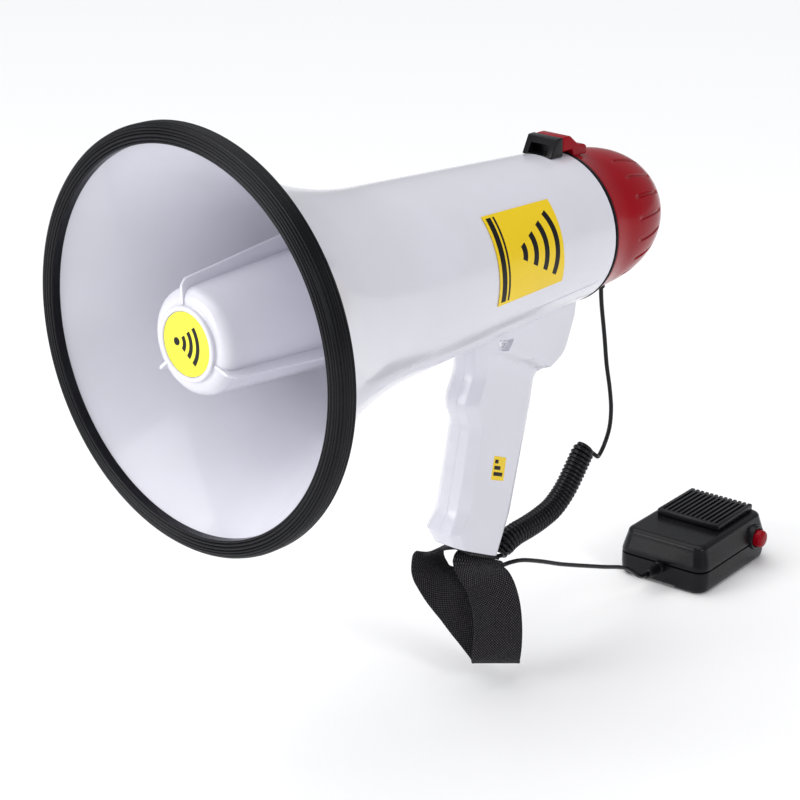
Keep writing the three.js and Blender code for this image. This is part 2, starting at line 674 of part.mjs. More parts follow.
// From the top down: height, front, rear, half width, half width of the front facet and
// rounding of the rear corners.
const GRIP_STATIONS = [
  [-30, 217, 298.5, BLOCK_HALF_WIDTH, GRIP_FACET + 6, BLOCK_CORNER],
  [-48, 217.5, 298.5, BLOCK_HALF_WIDTH, GRIP_FACET + 6, BLOCK_CORNER],
  [-60, 218, 293.5, BLOCK_HALF_WIDTH, GRIP_FACET + 4, BLOCK_CORNER],
  [-72, 218, 288.5, BLOCK_HALF_WIDTH, GRIP_FACET + 2, BLOCK_CORNER],
  [-77, 217, 284.5, BLOCK_HALF_WIDTH - 1.5, GRIP_FACET, BLOCK_CORNER + 3],
  [-81, 214.5, 278, BLOCK_HALF_WIDTH - 3.5, GRIP_FACET, BLOCK_CORNER + 6],
  [-85, 212, 273.5, BLOCK_HALF_WIDTH - 5.5, GRIP_FACET, GRIP_CORNER],
  [-90, 210, 272, GRIP_HALF_WIDTH, GRIP_FACET, GRIP_CORNER],
  [-96, 211, 271, GRIP_HALF_WIDTH, GRIP_FACET, GRIP_CORNER],
  [-105, 214.7, 269, GRIP_HALF_WIDTH, GRIP_FACET, GRIP_CORNER],
  [-130, 209.5, 262.5, GRIP_HALF_WIDTH, GRIP_FACET, GRIP_CORNER],
  [-159, 202.7, 255, GRIP_HALF_WIDTH, GRIP_FACET, GRIP_CORNER],
  [-168, 195.5, 252.5, GRIP_HALF_WIDTH, GRIP_FACET + 2, GRIP_CORNER],
];
// The base is square to the rake of the grip, so it is cut by a sloping plane.
const BASE_FRONT = [200, -178];
const BASE_REAR = [242, -197];
const BASE_SLOPE = (BASE_REAR[1] - BASE_FRONT[1]) / (BASE_REAR[0] - BASE_FRONT[0]);
const baseHeight = (y) => BASE_FRONT[1] + (y - BASE_FRONT[0]) * BASE_SLOPE;

function gripRing(z, front, rear, half, facet, corner) {
  const nose = 7;
  const side = [[facet, front], [half * 0.93, front + nose * 0.7], [half, front + 2 * nose]];
  for (let i = 0; i <= 4; i += 1) {
    const turn = ((Math.PI / 2) * i) / 4.5;
    side.push([half - corner + corner * Math.cos(turn), rear - corner + corner * Math.sin(turn)]);
  }
  const right = side.map(([x, y]) => v3(x, y, z));
  const left = side.map(([x, y]) => v3(-x, y, z)).reverse();
  return [...right, ...left];
}

function gripBlank(inset) {
  const rings = GRIP_STATIONS.map(([z, front, rear, half, facet, corner]) =>
    gripRing(z, front + inset, rear - inset, half - inset, facet - inset * 0.5, corner - inset),
  );
  const [toeFront, toeRear] = [BASE_FRONT[0] + inset, BASE_REAR[0] - inset];
  const shrink = inset + 1;
  const [half, corner] = [GRIP_HALF_WIDTH - shrink, GRIP_CORNER - shrink];
  const toe = gripRing(0, toeFront, toeRear, half, GRIP_FACET, corner);
  const base = toe.map((p) => v3(p.x, p.y, baseHeight(p.y) + inset));
  return loft([...rings, base]);
}

const SCREW_Y = 232;
const SCREW_DROP = 3; // below the body's underside
const SCREW_Z = -hornOuter(SCREW_Y) - SCREW_DROP;

function gripHalves() {
  const hollow = gripBlank(GRIP_WALL);
  const seat = bodyBlank(FIT_GAP);
  const screwBore = sideways(SCREW_SHANK + FIT_GAP, 80, 0, SCREW_Y, SCREW_Z);
  const strapBore = onBase(upright(0, SCREW_SHANK + FIT_GAP, -10, 15));
  const strapBoss = box(-6, 6, STRAP_SCREW_Y - 6, STRAP_SCREW_Y + 6, -200, -182);
  const recess = sideways(SCREW_HEAD + 1, 12, BLOCK_HALF_WIDTH, SCREW_Y, SCREW_Z);
  const topWeb = box(-30, 30, SCREW_Y - 6, SCREW_Y + 6, SCREW_Z - 6, SCREW_Z + 12);
  const inside = hollow.subtract(topWeb).subtract(strapBoss);
  const cuts = [inside, seat, screwBore, recess, strapBore];
  const shell = cuts.reduce((shape, cut) => shape.subtract(cut), gripBlank(0));
  const far = 60;
  const gap = SPLIT_GAP / 2;
  add("grip_right", shell.subtract(box(-far, gap, 150, 350, -250, 0)), "white");
  add("grip_left", shell.subtract(box(-gap, far, 150, 350, -250, 0)), "white");
}

// A round bar along X.
function sideways(radius, length, x, y, z) {
  return ring(0, radius, -length / 2, length / 2, 20).rotate([0, 0, 90]).translate([x, y, z]);
}

function gripPieces() {
  gripHalves();
  const head = BLOCK_HALF_WIDTH - 4.4;
  const shank = sideways(SCREW_SHANK, 2 * head - 8, 4, SCREW_Y, SCREW_Z);
  const cap = sideways(SCREW_HEAD, 2, head, SCREW_Y, SCREW_Z);
  const slotCut = box(head + 0.4, head + 4, SCREW_Y - 0.5, SCREW_Y + 0.5, SCREW_Z - 4, SCREW_Z + 4);
  add("grip_screw", shank.add(cap).subtract(slotCut), "chrome");
}

// ---------------------------------------------------------------- wrist strap

// Middle of the webbing, and the direction of its width, from the grip's base round and back.
const under = (y, layer) => baseHeight(y) - layer * STRAP_LAYER * 1.1;
const FACING = [0.73, 0.68, 0]; // width of the two hanging strands
const STRAP_ROUTE = [
  [[9, 228, under(228, 1)], [0, 1, BASE_SLOPE]],
  [[-4, 228, under(228, 1)], [0, 1, BASE_SLOPE]],
  [[-15, 227.5, under(227.5, 1) - 1.5], [0, 1, BASE_SLOPE / 2]],
  [[-26, 226.5, -197.5], [0, 1, 0]],
  [[-31.5, 224.5, -201.5], [0, 1, 0]],
  [[-30, 221.5, -207.5], [0, 1, 0]],
  [[-24, 219.5, -213.5], [0.1, 1, 0.2]],
  [[-16.5, 221, -220.5], [0.25, 0.9, 0.35]],
  [[-10.5, 226, -230], [0.5, 0.8, 0.2]],
  [[-5, 229.5, -239], FACING],
  [[3.5, 233.5, -250], FACING],
  [[10.5, 236, -259.5], FACING],
  [[15, 232.8, -264.3], FACING],
  [[18.5, 228.8, -259.5], FACING],
  [[19.3, 229.3, -249], FACING],
  [[16.5, 232.5, -237], FACING],
  [[13, 234, -225], FACING],
  [[7.5, 234, -214], [0.8, 0.55, 0]],
  [[2.5, 230.5, -206], [0.9, 0.4, 0]],
  [[0.5, 229, -200], [0.95, 0.3, 0]],
  [[0, 233, under(233, 2.4)], [0.96, 0.25, 0]],
  [[-1, 238.8, under(238.8, 2.4)], [0.96, 0.25, BASE_SLOPE / 4]],
];

function ribbon(route, width, thick, steps) {
  const middle = new THREE.CatmullRomCurve3(route.map(([p]) => v3(...p)), false, "centripetal");
  const widths = route.map(([, w]) => v3(...w).normalize());
  const across = new THREE.CatmullRomCurve3(widths, false, "centripetal");
  const rings = [];
  for (let i = 0; i <= steps; i += 1) {
    const t = i / steps;
    const centre = middle.getPoint(t);
    const along = middle.getTangent(t);
    const side = across.getPoint(t).normalize();
    side.addScaledVector(along, -side.dot(along)).normalize();
    const out = along.clone().cross(side).multiplyScalar(thick / 2);
    side.multiplyScalar(width / 2);
    const corner = (a, b) => centre.clone().addScaledVector(side, a).addScaledVector(out, b);
    rings.push([corner(1, 1), corner(-1, 1), corner(-1, -1), corner(1, -1)]);
  }
  return loft(rings);
}

// Stands a piece drawn along +Z on the grip's sloping base, with z = 0 on its face.
function onBase(shape) {
  const lean = THREE.MathUtils.radToDeg(Math.atan(BASE_SLOPE));
  return shape.rotate([lean, 0, 0]).translate([0, STRAP_SCREW_Y, under(STRAP_SCREW_Y, 0)]);
}
const upright = (inner, outer, low, high) => ring(inner, outer, low, high, 20).rotate([90, 0, 0]);

function strapPieces() {
  const webbing = ribbon(STRAP_ROUTE, STRAP_WIDTH, STRAP_THICK, STRAP_STEPS);
  const head = -2.8 * STRAP_LAYER - STRAP_THICK / 2 - 2 * FIT_GAP;
  const shankHole = upright(0, SCREW_SHANK + 2 * FIT_GAP, head - 3, 8);
  const headHole = upright(0, SCREW_HEAD + FIT_GAP, head - 3, head + FIT_GAP);
  add("wrist_strap", webbing.subtract(onBase(shankHole.add(headHole))), "webbing");
  const screw = upright(0, SCREW_SHANK, head - 1, 9).add(upright(0, SCREW_HEAD, head - 1.8, head));
  add("strap_screw", onBase(screw), "chrome");
}

// ---------------------------------------------------------------- cord

const glandRadius = CORD_RADIUS + 2;

const LEAD_ROUTE = [
  [0, glandY, -GLAND_TIP - FIT_GAP],
  [0, glandY + 1, -60],
  [0, 352.4, -84],
  [0, 355.5, -103],
  [0, 360, -122],
  [0, 362, -136],
  [0, 361, -148],
  [0, 356.5, -158],
  [0, 349, -165],
  [0, 341, -168],
];
const CURL_ROUTE = [
  [0, 335.5, -155],
  [0, 331, -162.5],
  [0, 323.6, -173.1],
  [0, 310.9, -183.1],
  [0, 294.6, -189.5],
  [0, 273, -191.5],
  [0, 259, -195.5],
  [0, 252, -199.5],
];
const TAIL_ROUTE = [
  [-4, 248.5, -204.4],
  [-2.5, 245, -206],
  [2, 243.5, -206.2],
  [7, 245.5, -205.4],
  [9, 251, -204.6],
  [9.5, 262, -206.4],
  [9, 282, -214],
  [8.5, 304, -223.6],
  [8, 346.5, -240],
  [7.5, 375, -251],
];

function cordPieces() {
  const gland = turned([
    [CORD_RADIUS + FIT_GAP, 30], [glandRadius + 2.4, 30], [glandRadius + 2.4, 32], [glandRadius, 32],
    [glandRadius, GLAND_TIP - 6], [CORD_RADIUS + 1, GLAND_TIP], [CORD_RADIUS + FIT_GAP, GLAND_TIP],
  ].reverse(), 20);
  add("cord_gland", vertical(gland, glandY), "black");
  const points = (route) => route.map((p) => v3(...p));
  add("cord_lead", tube(points(LEAD_ROUTE), CORD_RADIUS, CORD_SIDES, 7), "black");
  add("cord_curl", tube(points(CURL_ROUTE), CURL_RADIUS, CURL_SIDES, 7), "black");
  const relief = micPoint(0, -MIC_LENGTH / 2 - RELIEF_LENGTH - FIT_GAP, RELIEF_UP);
  const before = micPoint(0, -MIC_LENGTH / 2 - RELIEF_LENGTH - 9, RELIEF_UP + 1.5);
  add("cord_tail", tube([...points(TAIL_ROUTE), before, relief], CORD_RADIUS, CORD_SIDES, 7), "black");
}

// ---------------------------------------------------------------- microphone

const RELIEF_LENGTH = 16;
const RELIEF_UP = 13.5;
const BUTTON_FACE = MIC_WIDTH / 2;
const BUTTON_BACK = BUTTON_FACE - 9;

// A point given across, along and up from the middle of the microphone's underside.
function micPoint(across, along, up) {
  const turn = radians(MIC_TURN);
  const x = MIC_X + across * Math.cos(turn) - along * Math.sin(turn);
  const y = MIC_Y + across * Math.sin(turn) + along * Math.cos(turn);
  return v3(x, y, FLOOR_Z + up);
}

// A rounded rectangle at one height.
function micRing(inset, z, corner = MIC_CORNER) {
  const [halfX, halfY] = [MIC_WIDTH / 2 - inset, MIC_LENGTH / 2 - inset];
  const r = Math.max(1, corner - inset * 0.5);
  const points = [];
  [[1, -1, -90], [1, 1, 0], [-1, 1, 90], [-1, -1, 180]].forEach(([sx, sy, start]) => {
    for (let i = 0; i <= 4; i += 1) {
      const turn = radians(start + 22.5 * i);
      points.push(v3(sx * (halfX - r) + r * Math.cos(turn), sy * (halfY - r) + r * Math.sin(turn), z));
    }
  });
  return points;
}

function micPieces() {
  const mic = new THREE.Group();
  mic.position.set(MIC_X, MIC_Y, FLOOR_Z);
  mic.rotation.z = radians(MIC_TURN);
  parts.add(mic);

  const seam = MIC_SPLIT;
  const top = MIC_HEIGHT;
  const button = sideways(BUTTON_RADIUS + RUN_GAP, 40, BUTTON_FACE, BUTTON_ALONG, BUTTON_UP);
  const reliefHole = ring(0, 3 + FIT_GAP, 0, 12, 20).translate([0, -MIC_LENGTH / 2 - 4, RELIEF_UP]);

  const lowerOut = loft([micRing(3, 0), micRing(0.8, 2.4), micRing(0, 6), micRing(0, seam - FIT_GAP / 2)]);
  const lowerIn = loft([
    micRing(3 + MIC_WALL, MIC_WALL), micRing(MIC_WALL, 6), micRing(MIC_WALL, seam + 1),
  ]);
  const notch = box(-12, 12, -MIC_LENGTH / 2 - 1, -MIC_LENGTH / 2 + 5, -1, 2.2);
  const lower = lowerOut.subtract(lowerIn).subtract(notch).subtract(button).subtract(reliefHole);
  add("mic_lower_shell", lower, "black", mic);

  const upperOut = loft([
    micRing(0, seam + FIT_GAP / 2), micRing(0.3, seam + 3), micRing(MIC_TAPER - 1, top - 3),
    micRing(MIC_TAPER + 0.6, top - 0.8), micRing(MIC_TAPER + 2.4, top),
  ]);
  const upperIn = loft([
    micRing(MIC_WALL, seam - 1), micRing(MIC_WALL + 0.3, seam + 3),
    micRing(MIC_WALL + MIC_TAPER, top - MIC_WALL),
  ]);
  const hole = GRILLE_WIDTH * 0.3;
  const soundHole = box(-hole, hole, GRILLE_Y - 12, GRILLE_Y + 12, top - 5, top + 2);
  const upper = upperOut.subtract(upperIn).subtract(button).subtract(reliefHole).subtract(soundHole);
  add("mic_upper_shell", upper, "black", mic);

  add("mic_grille", grille(), "black", mic);
  micInside(mic);

  const relief = turned([
    [CORD_RADIUS + FIT_GAP, 3.6], [3, 3.6], [3, 0], [4.6, -0.4], [4.4, -4], [3.8, -RELIEF_LENGTH + 4],
    [3, -RELIEF_LENGTH], [CORD_RADIUS + FIT_GAP, -RELIEF_LENGTH],
  ], 20);
  add("mic_strain_relief", relief.translate([0, -MIC_LENGTH / 2, RELIEF_UP]), "black", mic);

  const buttonEnd = BUTTON_FACE + BUTTON_STAND;
  const pushButton = turned([
    [0, BUTTON_BACK], [BUTTON_RADIUS + 1.6, BUTTON_BACK], [BUTTON_RADIUS + 1.6, BUTTON_BACK + 1.5],
    [BUTTON_RADIUS, BUTTON_BACK + 1.5], [BUTTON_RADIUS, buttonEnd - 1.5],
    [BUTTON_RADIUS - 1.5, buttonEnd - 0.3], [0, buttonEnd],
  ], SMALL_STEPS);
  // It stands in a hole in the shells' right side and is pushed in along -X.
  const guide = pushButton.rotate([0, 0, -90]).translate([0, BUTTON_ALONG, BUTTON_UP]);
  add("ptt_button", guide, "red", mic);
}

const GRILLE_Y = MIC_LENGTH / 2 - 10 - GRILLE_LENGTH / 2;

function grille() {
  const low = MIC_HEIGHT + FIT_GAP;
  const high = low + GRILLE_HEIGHT;
  const [w, l] = [GRILLE_WIDTH / 2, GRILLE_LENGTH / 2];
  const ringAt = (inset, z) => [
    v3(-w + inset, GRILLE_Y - l + inset, z), v3(w - inset, GRILLE_Y - l + inset, z),
    v3(w - inset, GRILLE_Y + l - inset, z), v3(-w + inset, GRILLE_Y + l - inset, z),
  ];
  let shape = loft([ringAt(0, low), ringAt(0, high - 1.2), ringAt(1, high)]);
  const pitch = (GRILLE_WIDTH - 5) / GRILLE_BARS;
  for (let i = 0; i < GRILLE_BARS; i += 1) {
    const x = -w + 2.5 + pitch * (i + 0.5);
    const slot = box(-pitch * 0.28, pitch * 0.28, -l + 2, l + 1, high - 2.6, high + 1);
    shape = shape.subtract(slot.translate([x, GRILLE_Y, 0]));
  }
  return shape;
}

function micInside(mic) {
  const board = 8;
  add("mic_board", box(-20, 12, -20, 28, board, board + BOARD_THICK), "board", mic);
  const switchFace = BUTTON_BACK - BUTTON_TRAVEL - RUN_GAP;
  const foot = board + BOARD_THICK + FIT_GAP;
  const [switchNear, switchFar] = [BUTTON_ALONG - 4, BUTTON_ALONG + 4];
  const body = box(switchFace - 6, switchFace, switchNear, switchFar, foot, foot + 9);
  add("ptt_switch", body, "black", mic);
  const capsuleLow = MIC_HEIGHT - MIC_WALL - CAPSULE_HEIGHT - 1;
  const capsule = ring(0, 7, 0, CAPSULE_HEIGHT, SMALL_STEPS).rotate([90, 0, 0]);
  add("mic_capsule", capsule.translate([0, GRILLE_Y, capsuleLow]), "steel", mic);
}

// ---------------------------------------------------------------- assembly

add("horn_body", hornShell(), "white");
add("side_label", sideLabel(), "yellow");
add("rim_guard", rimGuard(), "rubber");
add("reflector", reflector(), "white");
add("reflector_badge", ring(0, BADGE_RADIUS, BADGE_THICK, 2 * BADGE_THICK - 0.2, 32), "yellow");
driverPieces();
batteryPieces();
capPieces();
latchPieces();
gripPieces();
strapPieces();
cordPieces();
micPieces();

parts.position.set(-GRIP_CENTRE[0], -GRIP_CENTRE[1], -GRIP_CENTRE[2]);
const megaphone = new THREE.Group();
megaphone.add(parts);

export default megaphone;
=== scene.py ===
import json
import math

import bmesh
import bpy
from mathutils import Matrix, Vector


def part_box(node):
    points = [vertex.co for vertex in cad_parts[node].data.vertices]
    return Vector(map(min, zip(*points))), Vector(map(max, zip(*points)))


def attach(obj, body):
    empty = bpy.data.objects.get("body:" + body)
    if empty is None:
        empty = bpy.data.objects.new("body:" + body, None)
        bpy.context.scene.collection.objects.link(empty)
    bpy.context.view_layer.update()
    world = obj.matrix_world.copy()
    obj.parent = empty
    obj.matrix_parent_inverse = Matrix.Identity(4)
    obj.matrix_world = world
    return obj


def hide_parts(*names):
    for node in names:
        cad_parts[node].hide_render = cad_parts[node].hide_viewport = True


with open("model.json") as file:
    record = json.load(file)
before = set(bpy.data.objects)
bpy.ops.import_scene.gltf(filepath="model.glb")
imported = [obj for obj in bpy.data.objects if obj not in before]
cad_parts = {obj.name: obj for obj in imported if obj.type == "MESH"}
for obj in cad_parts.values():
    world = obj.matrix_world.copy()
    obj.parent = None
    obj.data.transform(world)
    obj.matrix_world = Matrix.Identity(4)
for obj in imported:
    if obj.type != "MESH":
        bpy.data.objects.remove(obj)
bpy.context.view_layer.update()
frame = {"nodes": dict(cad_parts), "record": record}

MM = 0.001
MAIN = "megaphone"
CAP = "rear_cap_and_mic"

# The horn's axis and the plane of the bell's rim give every other place.
horn_low, horn_high = (Vector(corner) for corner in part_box("horn_body"))
RIM_Y = horn_low.y - 1 * MM
AXIS_Z = (horn_low.z + horn_high.z) / 2
FLOOR_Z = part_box("mic_lower_shell")[0][2]


def at(x, y, z):
    """A point in millimetres: across, behind the rim, and above the horn's axis."""
    return Vector((x * MM, RIM_Y + y * MM, AXIS_Z + z * MM))


def span_y(node):
    """Where a node starts and stops behind the rim, in millimetres."""
    low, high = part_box(node)
    return (low[1] - RIM_Y) / MM, (high[1] - RIM_Y) / MM


# ---------------------------------- camera

camera = bpy.data.objects.new("camera", bpy.data.cameras.new("camera"))
bpy.context.collection.objects.link(camera)
camera.location = (0.8053, -0.9345, 0.5036)
camera.rotation_euler = Vector((-0.6374, 0.6862, -0.3507)).to_track_quat("-Z", "Y").to_euler()
camera.data.lens = 99
camera.data.sensor_width = 36
camera.data.clip_end = 20
bpy.context.scene.camera = camera


# ---------------------------------- shader groups

def new_group(name, inputs, outputs):
    """An empty shader group with named sockets: (name, kind, value) in, (name, kind) out."""
    group = bpy.data.node_groups.new(name, "ShaderNodeTree")
    for label, kind, value in inputs:
        socket = group.interface.new_socket(label, in_out="INPUT", socket_type=kind)
        socket.default_value = value
    for label, kind in outputs:
        group.interface.new_socket(label, in_out="OUTPUT", socket_type=kind)
    start = group.nodes.new("NodeGroupInput")
    end = group.nodes.new("NodeGroupOutput")
    return group, start.outputs, end.inputs


def math_node(group, operation, first, second=0.5):
    node = group.nodes.new("ShaderNodeMath")
    node.operation = operation
    for socket, value in zip(node.inputs, (first, second)):
        if isinstance(value, bpy.types.NodeSocket):
            group.links.new(value, socket)
        else:
            socket.default_value = value
    return node.outputs[0]


def object_noise(group, scale, detail):
    where = group.nodes.new("ShaderNodeTexCoord")
    noise = group.nodes.new("ShaderNodeTexNoise")
    group.links.new(where.outputs["Object"], noise.inputs["Vector"])
    if isinstance(scale, bpy.types.NodeSocket):
        group.links.new(scale, noise.inputs["Scale"])
    else:
        noise.inputs["Scale"].default_value = scale
    noise.inputs["Detail"].default_value = detail
    return noise.outputs[0]


def grain_group():
    """The fine texture of a mould's surface."""
    group, given, made = new_group(
        "mould_grain", [("Scale", "NodeSocketFloat", 900.0)], [("Height", "NodeSocketFloat")]
    )
    group.links.new(object_noise(group, given["Scale"], 3), made["Height"])
    return group


def handling_group():
    """Slow change of gloss and tone, as of hands and dust."""
    group, given, made = new_group(
        "handling",
        [
            ("Color", "NodeSocketColor", (0.8, 0.8, 0.8, 1)),
            ("Worn Color", "NodeSocketColor", (0.7, 0.7, 0.7, 1)),
            ("Gloss", "NodeSocketFloat", 0.25),
            ("Spread", "NodeSocketFloat", 0.06),
        ],
        [("Color", "NodeSocketColor"), ("Roughness", "NodeSocketFloat")],
    )
    cloud = object_noise(group, 22, 4)
    soft = group.nodes.new("ShaderNodeMapRange")
    soft.inputs["From Min"].default_value = 0.35
    soft.inputs["From Max"].default_value = 0.75
    group.links.new(cloud, soft.inputs["Value"])
    mix = group.nodes.new("ShaderNodeMix")
    mix.data_type = "RGBA"
    group.links.new(soft.outputs[0], mix.inputs[0])
    group.links.new(given["Color"], mix.inputs[6])
    group.links.new(given["Worn Color"], mix.inputs[7])
    group.links.new(mix.outputs[2], made["Color"])
    smear = object_noise(group, 60, 5)
    change = math_node(group, "MULTIPLY", math_node(group, "SUBTRACT", smear, 0.5), given["Spread"])
    group.links.new(math_node(group, "ADD", change, given["Gloss"]), made["Roughness"])
    return group


def weave_group():
    """Plain-woven yarn from a map of millimetres across and along the webbing. Its second output paints
    the yarn's crests lighter than the gaps between them, a painted highlight.
    """
    group, given, made = new_group(
        "yarn_weave",
        [("Pitch", "NodeSocketFloat", 1.0)],
        [("Height", "NodeSocketFloat"), ("Crest Highlight", "NodeSocketFloat")],
    )
    spot = group.nodes.new("ShaderNodeAttribute")
    spot.attribute_name = "webbing_mm"
    parts = group.nodes.new("ShaderNodeSeparateXYZ")
    group.links.new(spot.outputs["Vector"], parts.inputs[0])
    across = math_node(group, "DIVIDE", parts.outputs[0], given["Pitch"])
    along = math_node(group, "DIVIDE", parts.outputs[1], given["Pitch"])
    lean = math_node(group, "ADD", across, along)
    turn = math_node(group, "SUBTRACT", across, along)
    ridge_a = math_node(group, "SINE", math_node(group, "MULTIPLY", lean, math.pi))
    ridge_b = math_node(group, "SINE", math_node(group, "MULTIPLY", turn, math.pi))
    bumps = math_node(group, "MULTIPLY", ridge_a, ridge_b)
    yarn = math_node(group, "ABSOLUTE", bumps)
    group.links.new(yarn, made["Height"])
    fibre = object_noise(group, 900, 2)
    # Painted highlight: the higher the yarn stands, the lighter it is painted, broken up by fibre noise.
    light = math_node(group, "MULTIPLY", math_node(group, "POWER", yarn, 3.0), fibre)
    group.links.new(light, made["Crest Highlight"])
    return group


GRAIN = grain_group()
HANDLING = handling_group()
WEAVE = weave_group()


# ---------------------------------- finishes

def place_group(tree, group, values):
    node = tree.nodes.new("ShaderNodeGroup")
    node.node_tree = group
    for label, value in values.items():
        node.inputs[label].default_value = value
    return node


def bump(tree, shader, height, strength, distance):
    node = tree.nodes.new("ShaderNodeBump")
    node.inputs["Strength"].default_value = strength
    node.inputs["Distance"].default_value = distance
    tree.links.new(height, node.inputs["Height"])
    tree.links.new(node.outputs[0], shader.inputs["Normal"])


def new_finish(name, **sockets):
    finish = bpy.data.materials.new(name)
    finish.use_nodes = True
    shader = finish.node_tree.nodes["Principled BSDF"]
    for label, value in sockets.items():
        shader.inputs[label.replace("_", " ").title().replace("Ior", "IOR")].default_value = value
    return finish, finish.node_tree, shader


def moulded(name, color, worn, gloss, spread, grain=0.05, scale=900.0, **sockets):
    """Plastic, rubber or metal with a mould's grain and the marks of handling."""
    finish, tree, shader = new_finish(name, **sockets)
    worked = place_group(
        tree, HANDLING,
        {"Color": (*color, 1), "Worn Color": (*worn, 1), "Gloss": gloss, "Spread": spread},
    )
    tree.links.new(worked.outputs["Color"], shader.inputs["Base Color"])
    tree.links.new(worked.outputs["Roughness"], shader.inputs["Roughness"])
    texture = place_group(tree, GRAIN, {"Scale": scale})
    bump(tree, shader, texture.outputs["Height"], grain, 0.0004)
    return finish


def webbing_finish():
    finish, tree, shader = new_finish(
        "woven_webbing", sheen_weight=0.05, sheen_roughness=0.5, roughness=0.82, specular_ior_level=0.15
    )
    yarn = place_group(tree, WEAVE, {"Pitch": 1.7})
    # Painted highlight: the yarn's crests take the lighter colour, the gaps stay near-black.
    tone = tree.nodes.new("ShaderNodeMix")
    tone.data_type = "RGBA"
    tone.inputs[6].default_value = (0.003, 0.003, 0.004, 1)
    tone.inputs[7].default_value = (0.2, 0.185, 0.21, 1)
    tree.links.new(yarn.outputs["Crest Highlight"], tone.inputs[0])
    tree.links.new(tone.outputs[2], shader.inputs["Base Color"])
    bump(tree, shader, yarn.outputs["Height"], 0.9, 0.0005)
    return finish


WHITE = moulded(
    "gloss_white_plastic", (0.69, 0.685, 0.755), (0.66, 0.655, 0.715), 0.2, 0.08,
    grain=0.02, coat_weight=0.3, coat_roughness=0.06,
)
RED = moulded(
    "gloss_red_plastic", (0.31, 0.0006, 0.007), (0.24, 0.0005, 0.007), 0.2, 0.08,
    grain=0.03, specular_ior_level=0.1, coat_weight=0.05, coat_roughness=0.04,
)
YELLOW = moulded(
    "yellow_label_film", (0.85, 0.6, 0.004), (0.8, 0.55, 0.004), 0.26, 0.06,
    grain=0.02, specular_ior_level=0.35, coat_weight=0.15, coat_roughness=0.1,
)
BADGE = moulded(
    "yellow_badge_film", (0.9, 0.84, 0.02), (0.86, 0.78, 0.02), 0.24, 0.05,
    grain=0.02, coat_weight=0.3, coat_roughness=0.1,
)
INK = moulded(
    "black_print", (0.004, 0.004, 0.005), (0.007, 0.007, 0.008), 0.3, 0.06, grain=0.02,
    specular_ior_level=0.2,
)
RIM = moulded(
    "satin_rim_rubber", (0.004, 0.004, 0.006), (0.008, 0.008, 0.011), 0.3, 0.12,
    grain=0.06, scale=1400.0, specular_ior_level=0.17,
)
BLACK = moulded(
    "satin_black_plastic", (0.004, 0.004, 0.005), (0.007, 0.007, 0.009), 0.27, 0.1,
    grain=0.08, scale=1800.0, specular_ior_level=0.2,
)
JACKET = moulded(
    "cord_jacket", (0.004, 0.004, 0.005), (0.008, 0.008, 0.01), 0.24, 0.1,
    grain=0.03, specular_ior_level=0.22,
)
CHROME = moulded(
    "plated_screw", (0.78, 0.78, 0.8), (0.62, 0.62, 0.64), 0.12, 0.12, grain=0.02, metallic=1.0,
)
STEEL = moulded("plain_plate", (0.5, 0.5, 0.52), (0.36, 0.36, 0.37), 0.32, 0.2, metallic=1.0)
ALUMINIUM = moulded("cast_aluminium", (0.66, 0.66, 0.68), (0.5, 0.5, 0.52), 0.4, 0.2, metallic=1.0)
COPPER = moulded("wound_copper", (0.72, 0.36, 0.18), (0.5, 0.24, 0.12), 0.3, 0.1, metallic=1.0)
FERRITE = moulded("sintered_ferrite", (0.03, 0.03, 0.033), (0.05, 0.05, 0.055), 0.7, 0.2, grain=0.3)
BOARD = moulded("circuit_board", (0.02, 0.14, 0.05), (0.03, 0.1, 0.04), 0.4, 0.1)
SLEEVE = moulded("cell_sleeve", (0.02, 0.08, 0.32), (0.03, 0.06, 0.2), 0.25, 0.1)
WEBBING = webbing_finish()

SLOT_FINISH = {
    "white_plastic": WHITE, "red_plastic": RED, "yellow_label": YELLOW, "rim_rubber": RIM,
    "cord_jacket": JACKET, "black_plastic": BLACK, "circuit_board": BOARD, "ferrite": FERRITE,
    "screw_chrome": CHROME, "plain_steel": STEEL, "bare_aluminium": ALUMINIUM,
    "voice_copper": COPPER, "cell_sleeve": SLEEVE, "strap_webbing": WEBBING,
}
FINISH_SLOT = {finish.name: slot for slot, finish in SLOT_FINISH.items()}
FINISH_SLOT |= {BADGE.name: "yellow_label", INK.name: "black_plastic"}


def finish_cad_nodes():
    """Every carried-over node takes the finish of its own slot in the record."""
    for row in frame["record"]["subparts"]:
        node = frame["nodes"][row["node"]]
        node.data.materials.clear()
        node.data.materials.append(SLOT_FINISH[row["material_slot"]])


# ---------------------------------- mesh helpers

def shade(mesh, angle):
    """Soft shading, with a crease where two faces turn by more than the angle."""
    mesh.shade_smooth()
    mesh.set_sharp_from_angle(angle=math.radians(angle))


def add_piece(name, mesh, body, finish, *nodes, angle=35):
    """A finished piece that rides on a body and stands for the nodes named."""
    mesh.name = name
    mesh.materials.append(finish)
    shade(mesh, angle)
    piece = bpy.data.objects.new(name, mesh)
    bpy.context.collection.objects.link(piece)
    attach(piece, body)
    if nodes:
        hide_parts(*nodes)
    return piece


def mesh_of(shape):
    """The mesh of a bmesh that is complete."""
    mesh = bpy.data.meshes.new("mesh")
    shape.to_mesh(mesh)
    shape.free()
    return mesh


